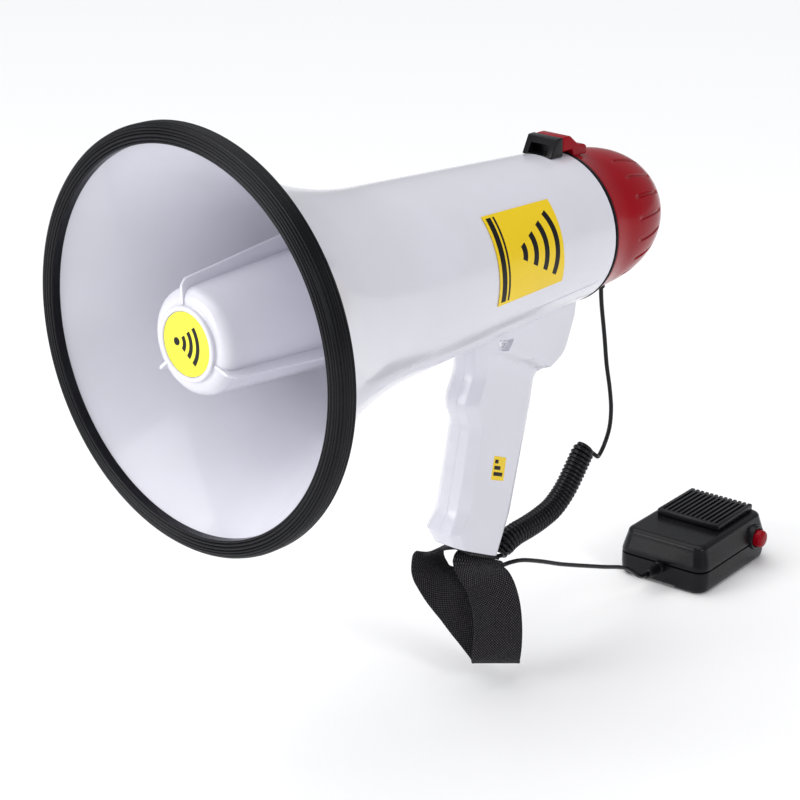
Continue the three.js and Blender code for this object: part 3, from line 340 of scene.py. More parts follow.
def skin(rows, round_rows=False, round_points=False, ends=False, marks=None):
    """A mesh through rows of points. Points that fall together are merged.

    marks gives each point its place on the webbing, which the weave reads.
    """
    shape = bmesh.new()
    layer = shape.verts.layers.float_vector.new("webbing_mm") if marks else None
    laid = [[shape.verts.new(p) for p in row] for row in rows]
    for row, tags in zip(laid, marks or []):
        for vert, tag in zip(row, tags):
            vert[layer] = tag
    for i in range(len(laid) - (0 if round_rows else 1)):
        near, far = laid[i], laid[(i + 1) % len(laid)]
        for j in range(len(near) - (0 if round_points else 1)):
            k = (j + 1) % len(near)
            shape.faces.new((near[j], near[k], far[k], far[j]))
    if ends:
        shape.faces.new(laid[0])
        shape.faces.new(laid[-1])
    bmesh.ops.remove_doubles(shape, verts=shape.verts, dist=1e-6)
    bmesh.ops.dissolve_degenerate(shape, edges=shape.edges, dist=1e-7)
    bmesh.ops.recalc_face_normals(shape, faces=shape.faces)
    return mesh_of(shape)


def eased(outline, radius, steps=4, closed=True):
    """An outline in two dimensions with its corners rounded."""
    made = []
    count = len(outline)
    for i, corner in enumerate(outline):
        if not closed and i in (0, count - 1):
            made.append(tuple(corner))
            continue
        here = Vector(corner)
        before = Vector(outline[i - 1]) - here
        after = Vector(outline[(i + 1) % count]) - here
        reach = min(radius, before.length * 0.45, after.length * 0.45)
        start = here + before.normalized() * reach
        stop = here + after.normalized() * reach
        for k in range(steps + 1):
            t = k / steps
            made.append(tuple(start * (1 - t) ** 2 + here * (2 * t * (1 - t)) + stop * t**2))
    return made


def turned_rows(profile, steps, place):
    """A ring of points for each pair in a profile: place gives the point at each turn."""
    turns = [2 * math.pi * i / steps for i in range(steps)]
    return [[place(radius, along, turn) for turn in turns] for radius, along in profile]


def lathe(profile, steps=192, centre=(0, 0), closed=True):
    """A profile of (radius, distance behind the rim) turned about a line along Y."""
    def place(radius, y, turn):
        return at(centre[0] + radius * math.cos(turn), y, centre[1] + radius * math.sin(turn))

    return skin(turned_rows(profile, steps, place), round_rows=closed, round_points=True)


def prism(outline, low, high, radius):
    """An outline in distance behind the rim and height, pushed out across, edges rounded."""
    shape = bmesh.new()
    near = [shape.verts.new(at(low, y, z)) for y, z in outline]
    far = [shape.verts.new(at(high, y, z)) for y, z in outline]
    count = len(outline)
    for i in range(count):
        k = (i + 1) % count
        shape.faces.new((near[i], near[k], far[k], far[i]))
    shape.faces.new(near)
    shape.faces.new(far)
    bmesh.ops.recalc_face_normals(shape, faces=shape.faces)
    sharp = [e for e in shape.edges if e.calc_face_angle(0) > math.radians(25)]
    bmesh.ops.bevel(
        shape, geom=sharp, offset=radius * MM, segments=4, profile=0.5, affect="EDGES",
        clamp_overlap=True,
    )
    return mesh_of(shape)


def smooth_line(points, step):
    """A centripetal curve through the points, sampled about a step apart."""
    points = [Vector(p) for p in points]
    ends = [2 * points[0] - points[1], *points, 2 * points[-1] - points[-2]]
    made = []
    for i in range(1, len(ends) - 2):
        p0, p1, p2, p3 = ends[i - 1 : i + 3]
        t1 = (p1 - p0).length ** 0.5
        t2 = t1 + (p2 - p1).length ** 0.5
        t3 = t2 + (p3 - p2).length ** 0.5
        count = max(1, round((p2 - p1).length / step))
        for k in range(count):
            t = t1 + (t2 - t1) * k / count
            a1 = p0.lerp(p1, t / t1)
            a2 = p1.lerp(p2, (t - t1) / (t2 - t1))
            a3 = p2.lerp(p3, (t - t2) / (t3 - t2))
            b1 = a1.lerp(a2, t / t2)
            b2 = a2.lerp(a3, (t - t1) / (t3 - t1))
            made.append(b1.lerp(b2, (t - t1) / (t2 - t1)))
    made.append(points[-1])
    return made


def carve(piece, mesh):
    """Cuts a closed mesh out of a piece."""
    tool = bpy.data.objects.new("tool", mesh)
    bpy.context.collection.objects.link(tool)
    cut = piece.modifiers.new("cut", "BOOLEAN")
    cut.object = tool
    cut.solver = "EXACT"
    bpy.context.view_layer.update()
    ready = piece.evaluated_get(bpy.context.evaluated_depsgraph_get())
    result = bpy.data.meshes.new_from_object(ready)
    piece.modifiers.remove(cut)
    piece.data = result
    bpy.data.objects.remove(tool)


# ---------------------------------- cord

CORD_DIAMETER = 0.0028
COIL_TURNS = 37
COIL_RADIUS = 6.1
POINTS_PER_TURN = 20

LEAD = [
    (0, 347, -50.3), (0, 348, -60), (0, 352.4, -84), (0, 355.5, -103), (0, 360, -122),
    (0, 362, -136), (0, 361, -148), (0.2, 357, -156.6), (1, 352, -161.6), (2.4, 346.8, -163.6),
    (3.6, 342.6, -161.4),
]
COIL = [
    (0, 336.8, -154.3), (0, 333.1, -157.8), (0, 326.7, -165.8), (0, 316, -178.2), (0, 304, -186.6),
    (0, 292.5, -190), (0, 280, -192), (0, 266, -193.4), (0, 257, -196.4), (0, 252, -200.5),
]
TAIL = [
    (-4.5, 252, -205.4), (-4.2, 247, -206), (0, 243.6, -206.2), (3, 243.4, -206), (7, 245.5, -205.4),
    (9, 251, -204.6), (9.5, 262, -206.4), (9, 282, -214), (8.5, 304, -223.6), (8, 346.5, -240),
    (7.5, 375, -251),
]


def coil_points():
    """The curly stretch: even turns round its own bent line."""
    line = smooth_line([at(*p) for p in COIL], 1 * MM)
    lengths = [0.0]
    for a, b in zip(line, line[1:]):
        lengths.append(lengths[-1] + (b - a).length)
    count = COIL_TURNS * POINTS_PER_TURN
    made = []
    side = Vector((1, 0, 0))
    i = 0
    for k in range(count + 1):
        along = lengths[-1] * k / count
        while i < len(line) - 2 and lengths[i + 1] < along:
            i += 1
        share = (along - lengths[i]) / (lengths[i + 1] - lengths[i])
        centre = line[i].lerp(line[i + 1], share)
        forward = (line[i + 1] - line[i]).normalized()
        up = side.cross(forward).normalized()
        turn = 2 * math.pi * (k / POINTS_PER_TURN + 0.25)
        near_end = min(k, count - k) / POINTS_PER_TURN
        radius = COIL_RADIUS * (0.68 + 0.32 * min(1.0, near_end / 1.6)) * MM
        made.append(centre + (side * math.cos(turn) + up * math.sin(turn)) * radius)
    return made


def cord_piece():
    relief_low, relief_high = (Vector(corner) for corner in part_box("mic_strain_relief"))
    relief_x = (relief_low.x + relief_high.x) / 2
    relief_z = (relief_low.z + relief_high.z) / 2
    entry = Vector((relief_x + 0.9 * MM, relief_low.y + 1 * MM, relief_z))
    before = entry + Vector((1, -9, 1.5)) * MM
    coil = coil_points()
    lead = smooth_line([*(at(*p) for p in LEAD), coil[0]], 3 * MM)
    tail = smooth_line([coil[-1], *(at(*p) for p in TAIL), before, entry], 3 * MM)
    points = lead[:-1] + coil + tail[1:]
    curve = bpy.data.curves.new("cord", "CURVE")
    curve.dimensions = "3D"
    curve.bevel_depth = CORD_DIAMETER / 2
    curve.bevel_resolution = 4
    spline = curve.splines.new("POLY")
    spline.points.add(len(points) - 1)
    for slot_point, point in zip(spline.points, points):
        slot_point.co = (*point, 1)
    curve.materials.append(JACKET)
    piece = bpy.data.objects.new("microphone_cord", curve)
    bpy.context.collection.objects.link(piece)
    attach(piece, CAP)
    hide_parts("cord_lead", "cord_curl", "cord_tail")


# ---------------------------------- horn and rim

SHELL_WALL = 2.4
BELL_LENGTH = 140
BELL_RADIUS = (horn_high.x - horn_low.x) / 2 / MM
BODY_LENGTH = (horn_high.y - RIM_Y) / MM
REAR_RADIUS = (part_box("cap_gasket")[1][0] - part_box("cap_gasket")[0][0]) / 2 / MM - 0.4
NECK_RADIUS = 55.5
TAPER = (NECK_RADIUS - REAR_RADIUS) / (BODY_LENGTH - BELL_LENGTH)


def straight(y):
    return REAR_RADIUS + TAPER * (BODY_LENGTH - y)


FLARE = BELL_RADIUS - straight(0)


def body_radius(y):
    """Outer radius of the white moulding at a distance behind the rim."""
    flare = max(0.0, 1 - y / BELL_LENGTH)
    return straight(y) + FLARE * flare**2


def horn_pieces():
    stations = [1 + 139 * i / 60 for i in range(61)] + [150, 175, 200, 225, 250, 275, 297]
    outside = [(body_radius(y), y) for y in stations]
    tail = [(body_radius(298.6), 298.6), (REAR_RADIUS - 0.7, BODY_LENGTH)]
    inside = [(body_radius(y) - SHELL_WALL, y) for y in [*stations, BODY_LENGTH]]
    profile = outside + tail + inside[::-1]
    add_piece("horn_moulding", lathe(profile, 256), MAIN, WHITE,
              "horn_body")
    # A low mould line runs along each side of the barrel.
    for side in (-1, 1):
        rows = []
        for i in range(49):
            y = 96 + (BODY_LENGTH - 2 - 96) * i / 48
            turn = math.radians(-31.5)
            lift = 0.35 * math.sin(math.pi * min(1, i / 6, (48 - i) / 6) / 2)
            ring = []
            for across, up in ((-0.9, -0.5), (-0.35, lift), (0.35, lift), (0.9, -0.5)):
                radius = body_radius(y) + up
                a = turn + across / radius
                ring.append(at(side * radius * math.cos(a), y, radius * math.sin(a)))
            rows.append(ring)
        name = f"mould_line_{'right' if side > 0 else 'left'}"
        add_piece(name, skin(rows, round_points=True, ends=True), MAIN, WHITE)


RIM_RIBS = 11


def rim_pieces():
    low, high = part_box("rim_guard")
    outer = (high[0] - low[0]) / 2 / MM
    front, rear = span_y("rim_guard")
    inner = BELL_RADIUS - 6
    # The crest line runs out across the rounded front, over the edge and back along the side.
    path = [(inner + 0.5, front + 1.2), (inner + 2, front + 0.45), (outer - 4.5, front + 0.45)]
    for i in range(1, 9):
        turn = math.radians(90 * i / 9)
        path.append((outer - 4.5 + 4.05 * math.sin(turn), front + 4.5 - 4.05 * math.cos(turn)))
    path += [(outer - 0.45, front + 4.5), (outer - 0.45, rear - 0.4)]
    line = smooth_line([(r, y, 0) for r, y in path], 0.2)
    outside = []
    for i, point in enumerate(line):
        ahead = (line[min(i + 1, len(line) - 1)] - line[max(i - 1, 0)]).normalized()
        out = Vector((ahead.y, -ahead.x, 0))
        wave = abs(math.sin(math.pi * RIM_RIBS * i / (len(line) - 1)))
        lift = 0.45 * (2 * wave**0.6 - 1)
        outside.append((point.x + out.x * lift, point.y + out.y * lift))
    outside += [(outer - 1.2, rear), (outer - 3.2, rear)]
    seat = [(outer - 3.4, 0.8), (BELL_RADIUS - 3, 0.8), (BELL_RADIUS - 3.3, 3.4), (inner + 0.9, 3.0)]
    add_piece("rim_bumper", lathe(outside + seat, 256), MAIN, RIM, "rim_guard",
              angle=50)


# ---------------------------------- reflector

FIN_ANGLES = (-9, 111, 231)  # from the top, towards +X
BADGE_RADIUS = 17.3
BADGE_Y = 0.75  # the badge's face, behind the rim
BADGE_THICK = 0.7
BADGE_MARK_X = -7.5  # the point that the badge's waves spread from
PRINT_THICK = 0.06


def reflector_radius(y):
    return 28.5 + 0.065 * (y - 2.5)


def raised_arc(radius, width, half_angle, steps, lifts, place):
    """A low printed arc: place gives the point at its own (along, up, lift)."""
    low, high = lifts
    inner, outer = radius - width / 2, radius + width / 2
    rows = []
    for i in range(steps + 1):
        turn = math.radians(-half_angle + 2 * half_angle * i / steps)
        rows.append([place(r * math.cos(turn), r * math.sin(turn), lift)
                     for r, lift in ((inner, low), (inner, high), (outer, high), (outer, low))])
    return skin(rows, round_points=True, ends=True)


def on_badge(across, up, lift):
    return at(BADGE_MARK_X + across, BADGE_Y - lift, up)


def reflector_pieces():
    recess, ring_edge, face = 17.6, 20.3, 2.5
    shoulder = []
    for i in range(13):
        turn = math.radians(90 - 90 * i / 12)
        shoulder.append((reflector_radius(9.5) - 7 * (1 - math.cos(turn)), 9.5 - 7 * math.sin(turn)))
    lip = [(recess, 1.6), (recess, 0.5), (recess + 0.5, 0.05), (ring_edge - 0.5, 0.05),
           (ring_edge, 0.5), (ring_edge, face - 0.3), (ring_edge + 0.5, face)]
    back = [(reflector_radius(112), 111.6), (reflector_radius(112) - 2, 112),
            (reflector_radius(15) - 2, 15), (ring_edge - 2, 6), (0, 18)]
    profile = [(0, 1.6), *lip, *shoulder, *back]
    add_piece("reflector_cup", lathe(profile, 192, closed=False), MAIN, WHITE, "reflector")
    for number, angle in enumerate(FIN_ANGLES, 1):
        turn = math.radians(angle)
        out = Vector((math.sin(turn), 0, math.cos(turn)))
        flat = out.cross(Vector((0, 1, 0)))
        edge = [(20.5, 1.4), (30.5, 2.2), (34, 5.6)]
        edge += [(reflector_radius(y) + 5 + 0.05 * y, y) for y in (20, 45, 70, 95, 123)]
        root = [(reflector_radius(y) - 1, y) for y in (123, 60, 14, 9)] + [(24, 4.2)]
        rows = []
        for half, inset in ((-0.9, 0.5), (-0.5, 0), (0.5, 0), (0.9, 0.5)):
            row = []
            for r, y in eased(edge + root, 1.2, 3):
                point = out * (r - inset * (r > 27)) + flat * half
                row.append(at(point.x, y + inset * 0.3 * (y < 10), point.z))
            rows.append(row)
        name = f"reflector_fin_{number}"
        add_piece(name, skin(rows, round_points=True, ends=True), MAIN, WHITE)
    back = BADGE_Y + BADGE_THICK
    edge = eased([(BADGE_RADIUS, BADGE_Y), (BADGE_RADIUS, back)], 0.15, 3, closed=False)
    mesh = lathe([(0, BADGE_Y), *edge, (0, back)], 96, closed=False)
    add_piece("reflector_badge_disc", mesh, MAIN, BADGE, "reflector_badge")
    for number, radius in enumerate((6, 11, 16), 1):
        mesh = raised_arc(radius, 2.6, 38, 40, (0, PRINT_THICK), on_badge)
        add_piece(f"badge_wave_{number}", mesh, MAIN, INK)
    front = BADGE_Y - PRINT_THICK
    dot = [(0, front), (2.2, front), (2.2, BADGE_Y), (0, BADGE_Y)]
    add_piece("badge_dot", lathe(dot, 48, (BADGE_MARK_X, 0), closed=False), MAIN, INK)


# ---------------------------------- side label

LABEL_LIFT = 0.3
LABEL_THICK = 0.35
LABEL_PRINT = (0.62, 0.7)  # the print's underside and face above the barrel
LABEL_MARK_Y = 200.5
LABEL_MARK_ANGLE = 15


def body_patch(low, high, front, rear, lifts, steps=24):
    """A thin skin wrapped on the barrel, between two angles that run from +X towards the top."""
    rows = []
    for i in range(steps + 1):
        y = front + (rear - front) * (i / steps)
        ring = []
        for lift in lifts:
            line = []
            for k in range(steps + 1):
                turn = math.radians(low + (high - low) * k / steps)
                radius = body_radius(y) + lift
                line.append(at(radius * math.cos(turn), y, radius * math.sin(turn)))
            ring += line if lift == lifts[0] else line[::-1]
        rows.append(ring)
    return skin(rows, round_points=True, ends=True)


def on_label(along, up, lift):
    """A point of the label's waves, which spread from halfway up it, near its front edge."""
    y = LABEL_MARK_Y + along
    size = body_radius(y)
    turn = math.radians(LABEL_MARK_ANGLE) + up / size
    return at((size + lift) * math.cos(turn), y, (size + lift) * math.sin(turn))


def label_pieces():
    front, rear = span_y("side_label")
    mesh = body_patch(-13.5, 43.5, front, rear, (LABEL_LIFT, LABEL_LIFT + LABEL_THICK))
    add_piece("label_film", mesh, MAIN, YELLOW, "side_label")
    bands = (("label_band_wide", front + 2.2, front + 6.4), ("label_band_thin", front + 8, front + 9.6))
    for name, start, stop in bands:
        add_piece(name, body_patch(-11.5, 41.5, start, stop, LABEL_PRINT), MAIN, INK)
    for number, radius in enumerate((10, 20, 30, 40), 1):
        mesh = raised_arc(radius, 4.2, 27, 36, LABEL_PRINT, on_label)
        add_piece(f"label_wave_{number}", mesh, MAIN, INK)


# ---------------------------------- rear cap

CAP_FRONT = span_y("cap_gasket")[1] + 0.3
CAP_SKIRT = 14
DOME_FRONT = CAP_FRONT + CAP_SKIRT
CAP_RADIUS = 43.5
CAP_DOME = 65
FULLNESS = 2 / 2.25
PANEL_RADIUS = 24
PANEL_TURN = math.acos((PANEL_RADIUS / CAP_RADIUS) ** (1 / FULLNESS))
SPIGOT_LENGTH = 12
FLUTES = 20
FLUTE_DEPTH = 1.1


def dome_point(turn, inset=0.0):
    radius = (CAP_RADIUS - inset) * math.cos(turn) ** FULLNESS
    return radius, DOME_FRONT + (CAP_DOME - inset) * math.sin(turn) ** FULLNESS


def cap_pieces():
    panel_y = dome_point(PANEL_TURN)[1]
    floor = panel_y - 3
    outside = [(REAR_RADIUS - 0.8, CAP_FRONT), (REAR_RADIUS - 0.1, CAP_FRONT + 0.7)]
    outside += [(REAR_RADIUS - (REAR_RADIUS - CAP_RADIUS) * i / 8, CAP_FRONT + CAP_SKIRT * i / 8)
                for i in range(1, 8)]
    outside += [dome_point(PANEL_TURN * i / 48) for i in range(49)]
    for _ in range(14):
        outside[2:-2] = [((a[0] + 2 * b[0] + c[0]) / 4, (a[1] + 2 * b[1] + c[1]) / 4)
                         for a, b, c in zip(outside[1:], outside[2:-2], outside[3:])]
    panel = [(PANEL_RADIUS - 0.8, panel_y + 0.05), (PANEL_RADIUS - 1.3, panel_y - 0.6),
             (PANEL_RADIUS - 1.4, floor), (0, floor)]
    inside = [(0, floor - SHELL_WALL), (PANEL_RADIUS + 2, floor - SHELL_WALL)]
    inside += [dome_point(PANEL_TURN * i / 16, SHELL_WALL) for i in range(12, -1, -1)]
    spigot = body_radius(BODY_LENGTH) - SHELL_WALL - 0.6
    bore = spigot - SHELL_WALL
    inside += [(bore, CAP_FRONT), (bore, CAP_FRONT - SPIGOT_LENGTH), (spigot, CAP_FRONT - SPIGOT_LENGTH),
               (spigot, CAP_FRONT)]
    fluted = set(outside)

    def place(radius, y, turn):
        depth = 0.0
        if (radius, y) in fluted:
            wave = abs(((turn * FLUTES / (2 * math.pi)) % 1) - 0.5) * 2
            across = max(0.0, 1 - wave / 0.22)
            fade = soft_step((y - DOME_FRONT - 12) / 5) * soft_step((panel_y - 11 - y) / 4)
            # The latch sits on the top, which has no flutes.
            depth = FLUTE_DEPTH * fade * soft_step(1.6 * across) * (math.sin(turn) < 0.93)
        r = max(0.0, radius - depth)
        return at(r * math.cos(turn), y, r * math.sin(turn))

    mesh = skin(turned_rows(outside + panel + inside, 360, place), round_points=True)
    add_piece("cap_moulding", mesh, CAP, RED, "rear_cap", angle=40)
    front, rear = span_y("cap_gasket")
    gasket = eased([(44.2, front), (REAR_RADIUS + 0.35, front), (REAR_RADIUS + 0.35, rear), (44.2, rear)],
                   0.4, 3)
    add_piece("gasket_ring", lathe(gasket, 192), CAP, RIM, "cap_gasket")


def knob_piece():
    low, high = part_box("volume_knob")
    z = ((low[2] + high[2]) / 2 - AXIS_Z) / MM
    front, rear = span_y("volume_knob")
    base = rear - 9
    profile = [(0, front), (3, front), (3, base), *eased(
        [(4, base), (8.5, base), (8.3, rear - 1.4), (6.8, rear), (0, rear)], 0.6, 3, closed=False)]

    def place(radius, y, turn):
        ribbed = radius > 8 and base + 0.8 < y < rear - 1
        r = radius - (0.35 if ribbed and math.sin(24 * turn) > 0 else 0)
        return at(r * math.cos(turn), y, z + r * math.sin(turn))

    mesh = skin(turned_rows(profile, 192, place), round_points=True)
    add_piece("volume_dial", mesh, "volume", BLACK, "volume_knob")
    mark = [(rear + 0.02, z + 2.5), (rear + 0.12, z + 2.5), (rear + 0.12, z + 6.5), (rear + 0.02, z + 6.5)]
    add_piece("volume_mark", prism(mark, -0.4, 0.4, 0.03), "volume", WHITE)


PIN_Y, PIN_Z = 312, 48.5


def latch_pieces():
    low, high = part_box("catch_box")
    front = (low[1] - RIM_Y) / MM
    rear = front + 11
    top = (high[2] - AXIS_Z) / MM
    half = (high[0] - low[0]) / 2 / MM
    outline = [(front, body_radius(front) - 0.8), (rear, body_radius(rear) - 0.8), (rear, top + 0.9),
               (front + 5.5, top + 0.9)]
    box = add_piece("catch_housing", prism(outline, -half, half, 0.7), MAIN, BLACK, "catch_box")
    tongue_low, tongue_high = top - 6.8, top - 4
    sill, head = tongue_low - 2.2, tongue_high + 0.9
    window = [(front - 8, sill), (rear - 1.5, sill), (rear - 1.5, head), (front - 8, head)]
    carve(box, prism(window, -7.2, 7.2, 0.3))
    lip, back = rear + 1.1, CAP_FRONT + 13.2
    base = REAR_RADIUS - 2.4
    wedge = [(lip, body_radius(lip) + 1.9), (CAP_FRONT - 0.6, body_radius(lip) + 1.9),
             (CAP_FRONT + 0.4, base), (back, base), (back, PIN_Z + 0.6), (PIN_Y + 0.6, PIN_Z + 2),
             (CAP_FRONT + 5.4, PIN_Z + 2.8), (lip + 6.8, top + 0.6), (lip, top + 0.6)]
    add_piece("latch_wedge", prism(wedge, -10.5, 10.5, 0.9), "latch", RED,
              "cap_latch")


# ---------------------------------- grip

GRIP_HALF = 14.5
BASE_HALF = 13.5
FACET_HALF = 7.3
# Height, front, rear, half width of the front facet and rounding at the rear.
GRIP_STATIONS = [
    (-44, 217.5, 298.5, 7.3, 4), (-48, 217.5, 298.5, 7.3, 4),
    (-60, 218, 293.5, 7.3, 4), (-70, 218, 289.5, 7.3, 4),
    (-74, 217.4, 287, 7.3, 5), (-77, 216.4, 282.5, 7.3, 8),
    (-80, 215, 277, 7.3, 11), (-84, 212.7, 273.5, 7.3, 13.5),
    (-90, 210, 272, 7.3, 13.5), (-96, 211, 271, 7.3, 13.5),
    (-105, 214.7, 269, 7.3, 13.5), (-130, 209.5, 262.5, 7.3, 13.5),
    (-159, 202.7, 255, 7.3, 13.5), (-168, 195.5, 252.5, 9.3, 13.5),
]
BASE_FRONT = (200, -178)
BASE_REAR = (242, -197)
BASE_SLOPE = (BASE_REAR[1] - BASE_FRONT[1]) / (BASE_REAR[0] - BASE_FRONT[0])
SHOULDER_FRONT_Y, SHOULDER_FRONT_Z = 217, -55
SHOULDER_FALL = 0.5
SHOULDER_HALF = 21
SHOULDER_SWELL = SHOULDER_HALF / GRIP_HALF - 1
SCREW_RADIUS = 3.1
SCREW_SEAT = 17  # how far the head's seat lies to the right of the middle
SLOT_DEPTH = 0.5
SCREW_Y = 232
SCREW_Z = -body_radius(SCREW_Y) - 3


def base_height(y):
    return BASE_FRONT[1] + (y - BASE_FRONT[0]) * BASE_SLOPE


def soft_step(value):
    value = max(0.0, min(1.0, value))
    return value * value * (3 - 2 * value)


def shoulder(y, z, front):
    """How far the grip has widened into the block that carries the barrel, from 0 to 1."""
    lower_edge = SHOULDER_FRONT_Z - (y - SHOULDER_FRONT_Y) * SHOULDER_FALL
    return soft_step((z - lower_edge) / 5) * soft_step((y - front - 6) / 10)


def grip_outline(front, rear, half, facet, corner, z=-200.0):
    """The right half of the grip's section, from the middle of the front to that of the rear."""
    side = [(0.0, front), (facet, front), (half * 0.93, front + 4.9), (half, front + 14)]
    side = eased(side, 1.2, 3, closed=False)
    for i in range(1, 13):
        side.append((half, front + 14 + (rear - corner - front - 14) * i / 13))
    for i in range(9):
        turn = math.radians(90 * i / 8)
        side.append((half - corner + corner * math.cos(turn), rear - corner + corner * math.sin(turn)))
    side.append((0.0, rear))
    return [(x * (1 + SHOULDER_SWELL * shoulder(y, z, front)), y) for x, y in side]


def grip_rows():
    """Sections from the barrel down to the base, close together so the turns are soft."""
    rows = []
    for near, far in zip(GRIP_STATIONS, GRIP_STATIONS[1:]):
        steps = max(2, round((near[0] - far[0]) / 1.6))
        for i in range(steps):
            rows.append([a + (b - a) * i / steps for a, b in zip(near, far)])
    rows.append(list(GRIP_STATIONS[-1]))
    for _ in range(3):
        smooth = [rows[0]]
        for before, here, after in zip(rows, rows[1:], rows[2:]):
            smooth.append([(a + 2 * b + c) / 4 for a, b, c in zip(before, here, after)])
        rows = [*smooth, rows[-1]]
    return rows


def grip_half(side):
    hand = "right" if side > 0 else "left"
    gap = 0.05
    rows = []
    for z, front, rear, facet, corner in grip_rows():
        outline = grip_outline(front, rear, GRIP_HALF, facet, corner, z)
        rows.append([at(side * max(x, gap), y, z) for x, y in outline])
    shut = grip_outline(BASE_FRONT[0], BASE_REAR[0], BASE_HALF, FACET_HALF, 12.5)
    rows.append([at(side * max(x, gap), y, base_height(y) + 1.2) for x, y in shut])
    for inset, lift in ((0.15, 0.7), (0.45, 0.3)):
        edge = grip_outline(BASE_FRONT[0] + inset, BASE_REAR[0] - inset, BASE_HALF - inset, FACET_HALF,
                            12.5 - inset)
        rows.append([at(side * max(x, gap), y, base_height(y) + lift) for x, y in edge])
    tight = grip_outline(BASE_FRONT[0] + 0.9, BASE_REAR[0] - 0.9, 12.6, 6.9, 11.6)
    rows.append([at(side * max(x, gap), y, base_height(y)) for x, y in tight])
    # The top row follows the barrel it seats on.
    top = []
    for point in rows[0]:
        x, y = point.x / MM, (point.y - RIM_Y) / MM
        radius = body_radius(y) + 0.1
        top.append(at(x, y, -math.sqrt(max(1.0, radius**2 - x**2))))
    kept = [row for row in rows if row[0].z < top[0].z + 1 * MM]
    start = len(rows) - len(kept)
    rows = [top] + [
        [Vector((p.x, p.y, min(p.z, t.z - 0.01 * MM * (i + 1)))) for p, t in zip(row, top)]
        for i, row in enumerate(rows[start:])
    ]
    mesh = skin(rows, round_points=True, ends=True)
    return add_piece(f"grip_{hand}_half", mesh, MAIN, WHITE, f"grip_{hand}", angle=38)


def screw_head():
    """A domed cross-slot screw head that faces +X."""
    radius = SCREW_RADIUS
    profile = [(radius, -1.2), (radius, -0.2), (radius * 0.96, 0.15), (radius * 0.75, 0.45),
               (radius * 0.55, 0.58), (radius * 0.45, 0.62), (radius * 0.3, 0.65), (0, 0.66)]

    def place(r, lift, turn):
        y, z = r * math.cos(turn), r * math.sin(turn)
        in_cross = min(abs(y), abs(z)) < radius * 0.16 and r < radius * 0.6
        return at(SCREW_SEAT + lift - (SLOT_DEPTH if in_cross else 0), SCREW_Y + y, SCREW_Z + z)

    return skin(turned_rows(profile, 96, place), round_points=True)


def grip_pieces():
    right = grip_half(1)
    grip_half(-1)
    recess = [(219.5, -51), (237.5, -51.2), (236, -54.5), (233.5, -58.2), (230.5, -58.2), (226, -55.5)]
    carve(right, prism(recess, 17.2, 24, 0.5))
    shade(right.data, 38)
    add_piece("grip_screw_head", screw_head(), MAIN, CHROME, "grip_screw")


# The print's corners on the grip's right side, from its top front one round.
GRIP_MARK = ((229, -125), (240, -129.4), (237.6, -144), (226, -139.6))
# The low edge, high edge and far end of each bar, in shares of the print.
MARK_BARS = ((0.14, 0.3, 0.4), (0.4, 0.56, 0.62), (0.66, 0.82, 0.84))


def mark_piece(name, low, high, left, right, finish, lift):
    """A thin four-sided print on the grip's right side, placed by shares of the mark's box."""
    corners = []
    for u, v in ((left, low), (right, low), (right, high), (left, high)):
        top = Vector(GRIP_MARK[0]).lerp(Vector(GRIP_MARK[1]), u)
        foot = Vector(GRIP_MARK[3]).lerp(Vector(GRIP_MARK[2]), u)
        corners.append(tuple(top.lerp(foot, v)))
    add_piece(name, prism(corners, GRIP_HALF - 0.2, GRIP_HALF + lift, 0.03), MAIN, finish)


def grip_mark():
    mark_piece("grip_mark", 0, 1, 0, 1, YELLOW, 0.12)
    for number, (low, high, reach) in enumerate(MARK_BARS, 1):
        mark_piece(f"grip_mark_bar_{number}", low, high, 0.12, reach, INK, 0.2)


# ---------------------------------- wrist strap

STRAP_WIDTH = 30
STRAP_LAYER = 1.87
FACING = (0.73, 0.68, 0)


def under(y, layer):
    return base_height(y) - layer * STRAP_LAYER


# The middle of the webbing along its loop, and the direction of its width there.
STRAP_ROUTE = [
    ((9, 228, under(228, 1)), (0, 1, BASE_SLOPE)),
    ((-4, 228, under(228, 1)), (0, 1, BASE_SLOPE)),
    ((-15, 227.5, under(227.5, 1) - 1.5), (0, 1, BASE_SLOPE / 2)),
    ((-26, 226.5, -197.5), (0, 1, 0)),
    ((-31.5, 224.5, -201.5), (0, 1, 0)),
    ((-30, 221.5, -207.5), (0, 1, 0)),
    ((-24, 219.5, -213.5), (0.1, 1, 0.2)),
    ((-16.5, 221, -220.5), (0.25, 0.9, 0.35)),
    ((-10.5, 226, -230), (0.5, 0.8, 0.2)),
    ((-5, 229.5, -239), FACING),
    ((3.5, 233.5, -250), FACING),
    ((10.5, 236, -259.5), FACING),
    ((15, 232.8, -264.3), FACING),
    ((18.5, 228.8, -259.5), FACING),
    ((19.3, 229.3, -249), FACING),
    ((16.5, 232.5, -237), FACING),
    ((13, 234, -225), FACING),
    ((7.5, 234, -214), (0.8, 0.55, 0)),
    ((2.5, 230.5, -206), (0.9, 0.4, 0)),
    ((0.5, 229, -200), (0.95, 0.3, 0)),
    ((0, 233, under(233, 2.4)), (0.96, 0.25, 0)),
    ((-1, 238.8, under(238.8, 2.4)), (0.96, 0.25, BASE_SLOPE / 4)),
]


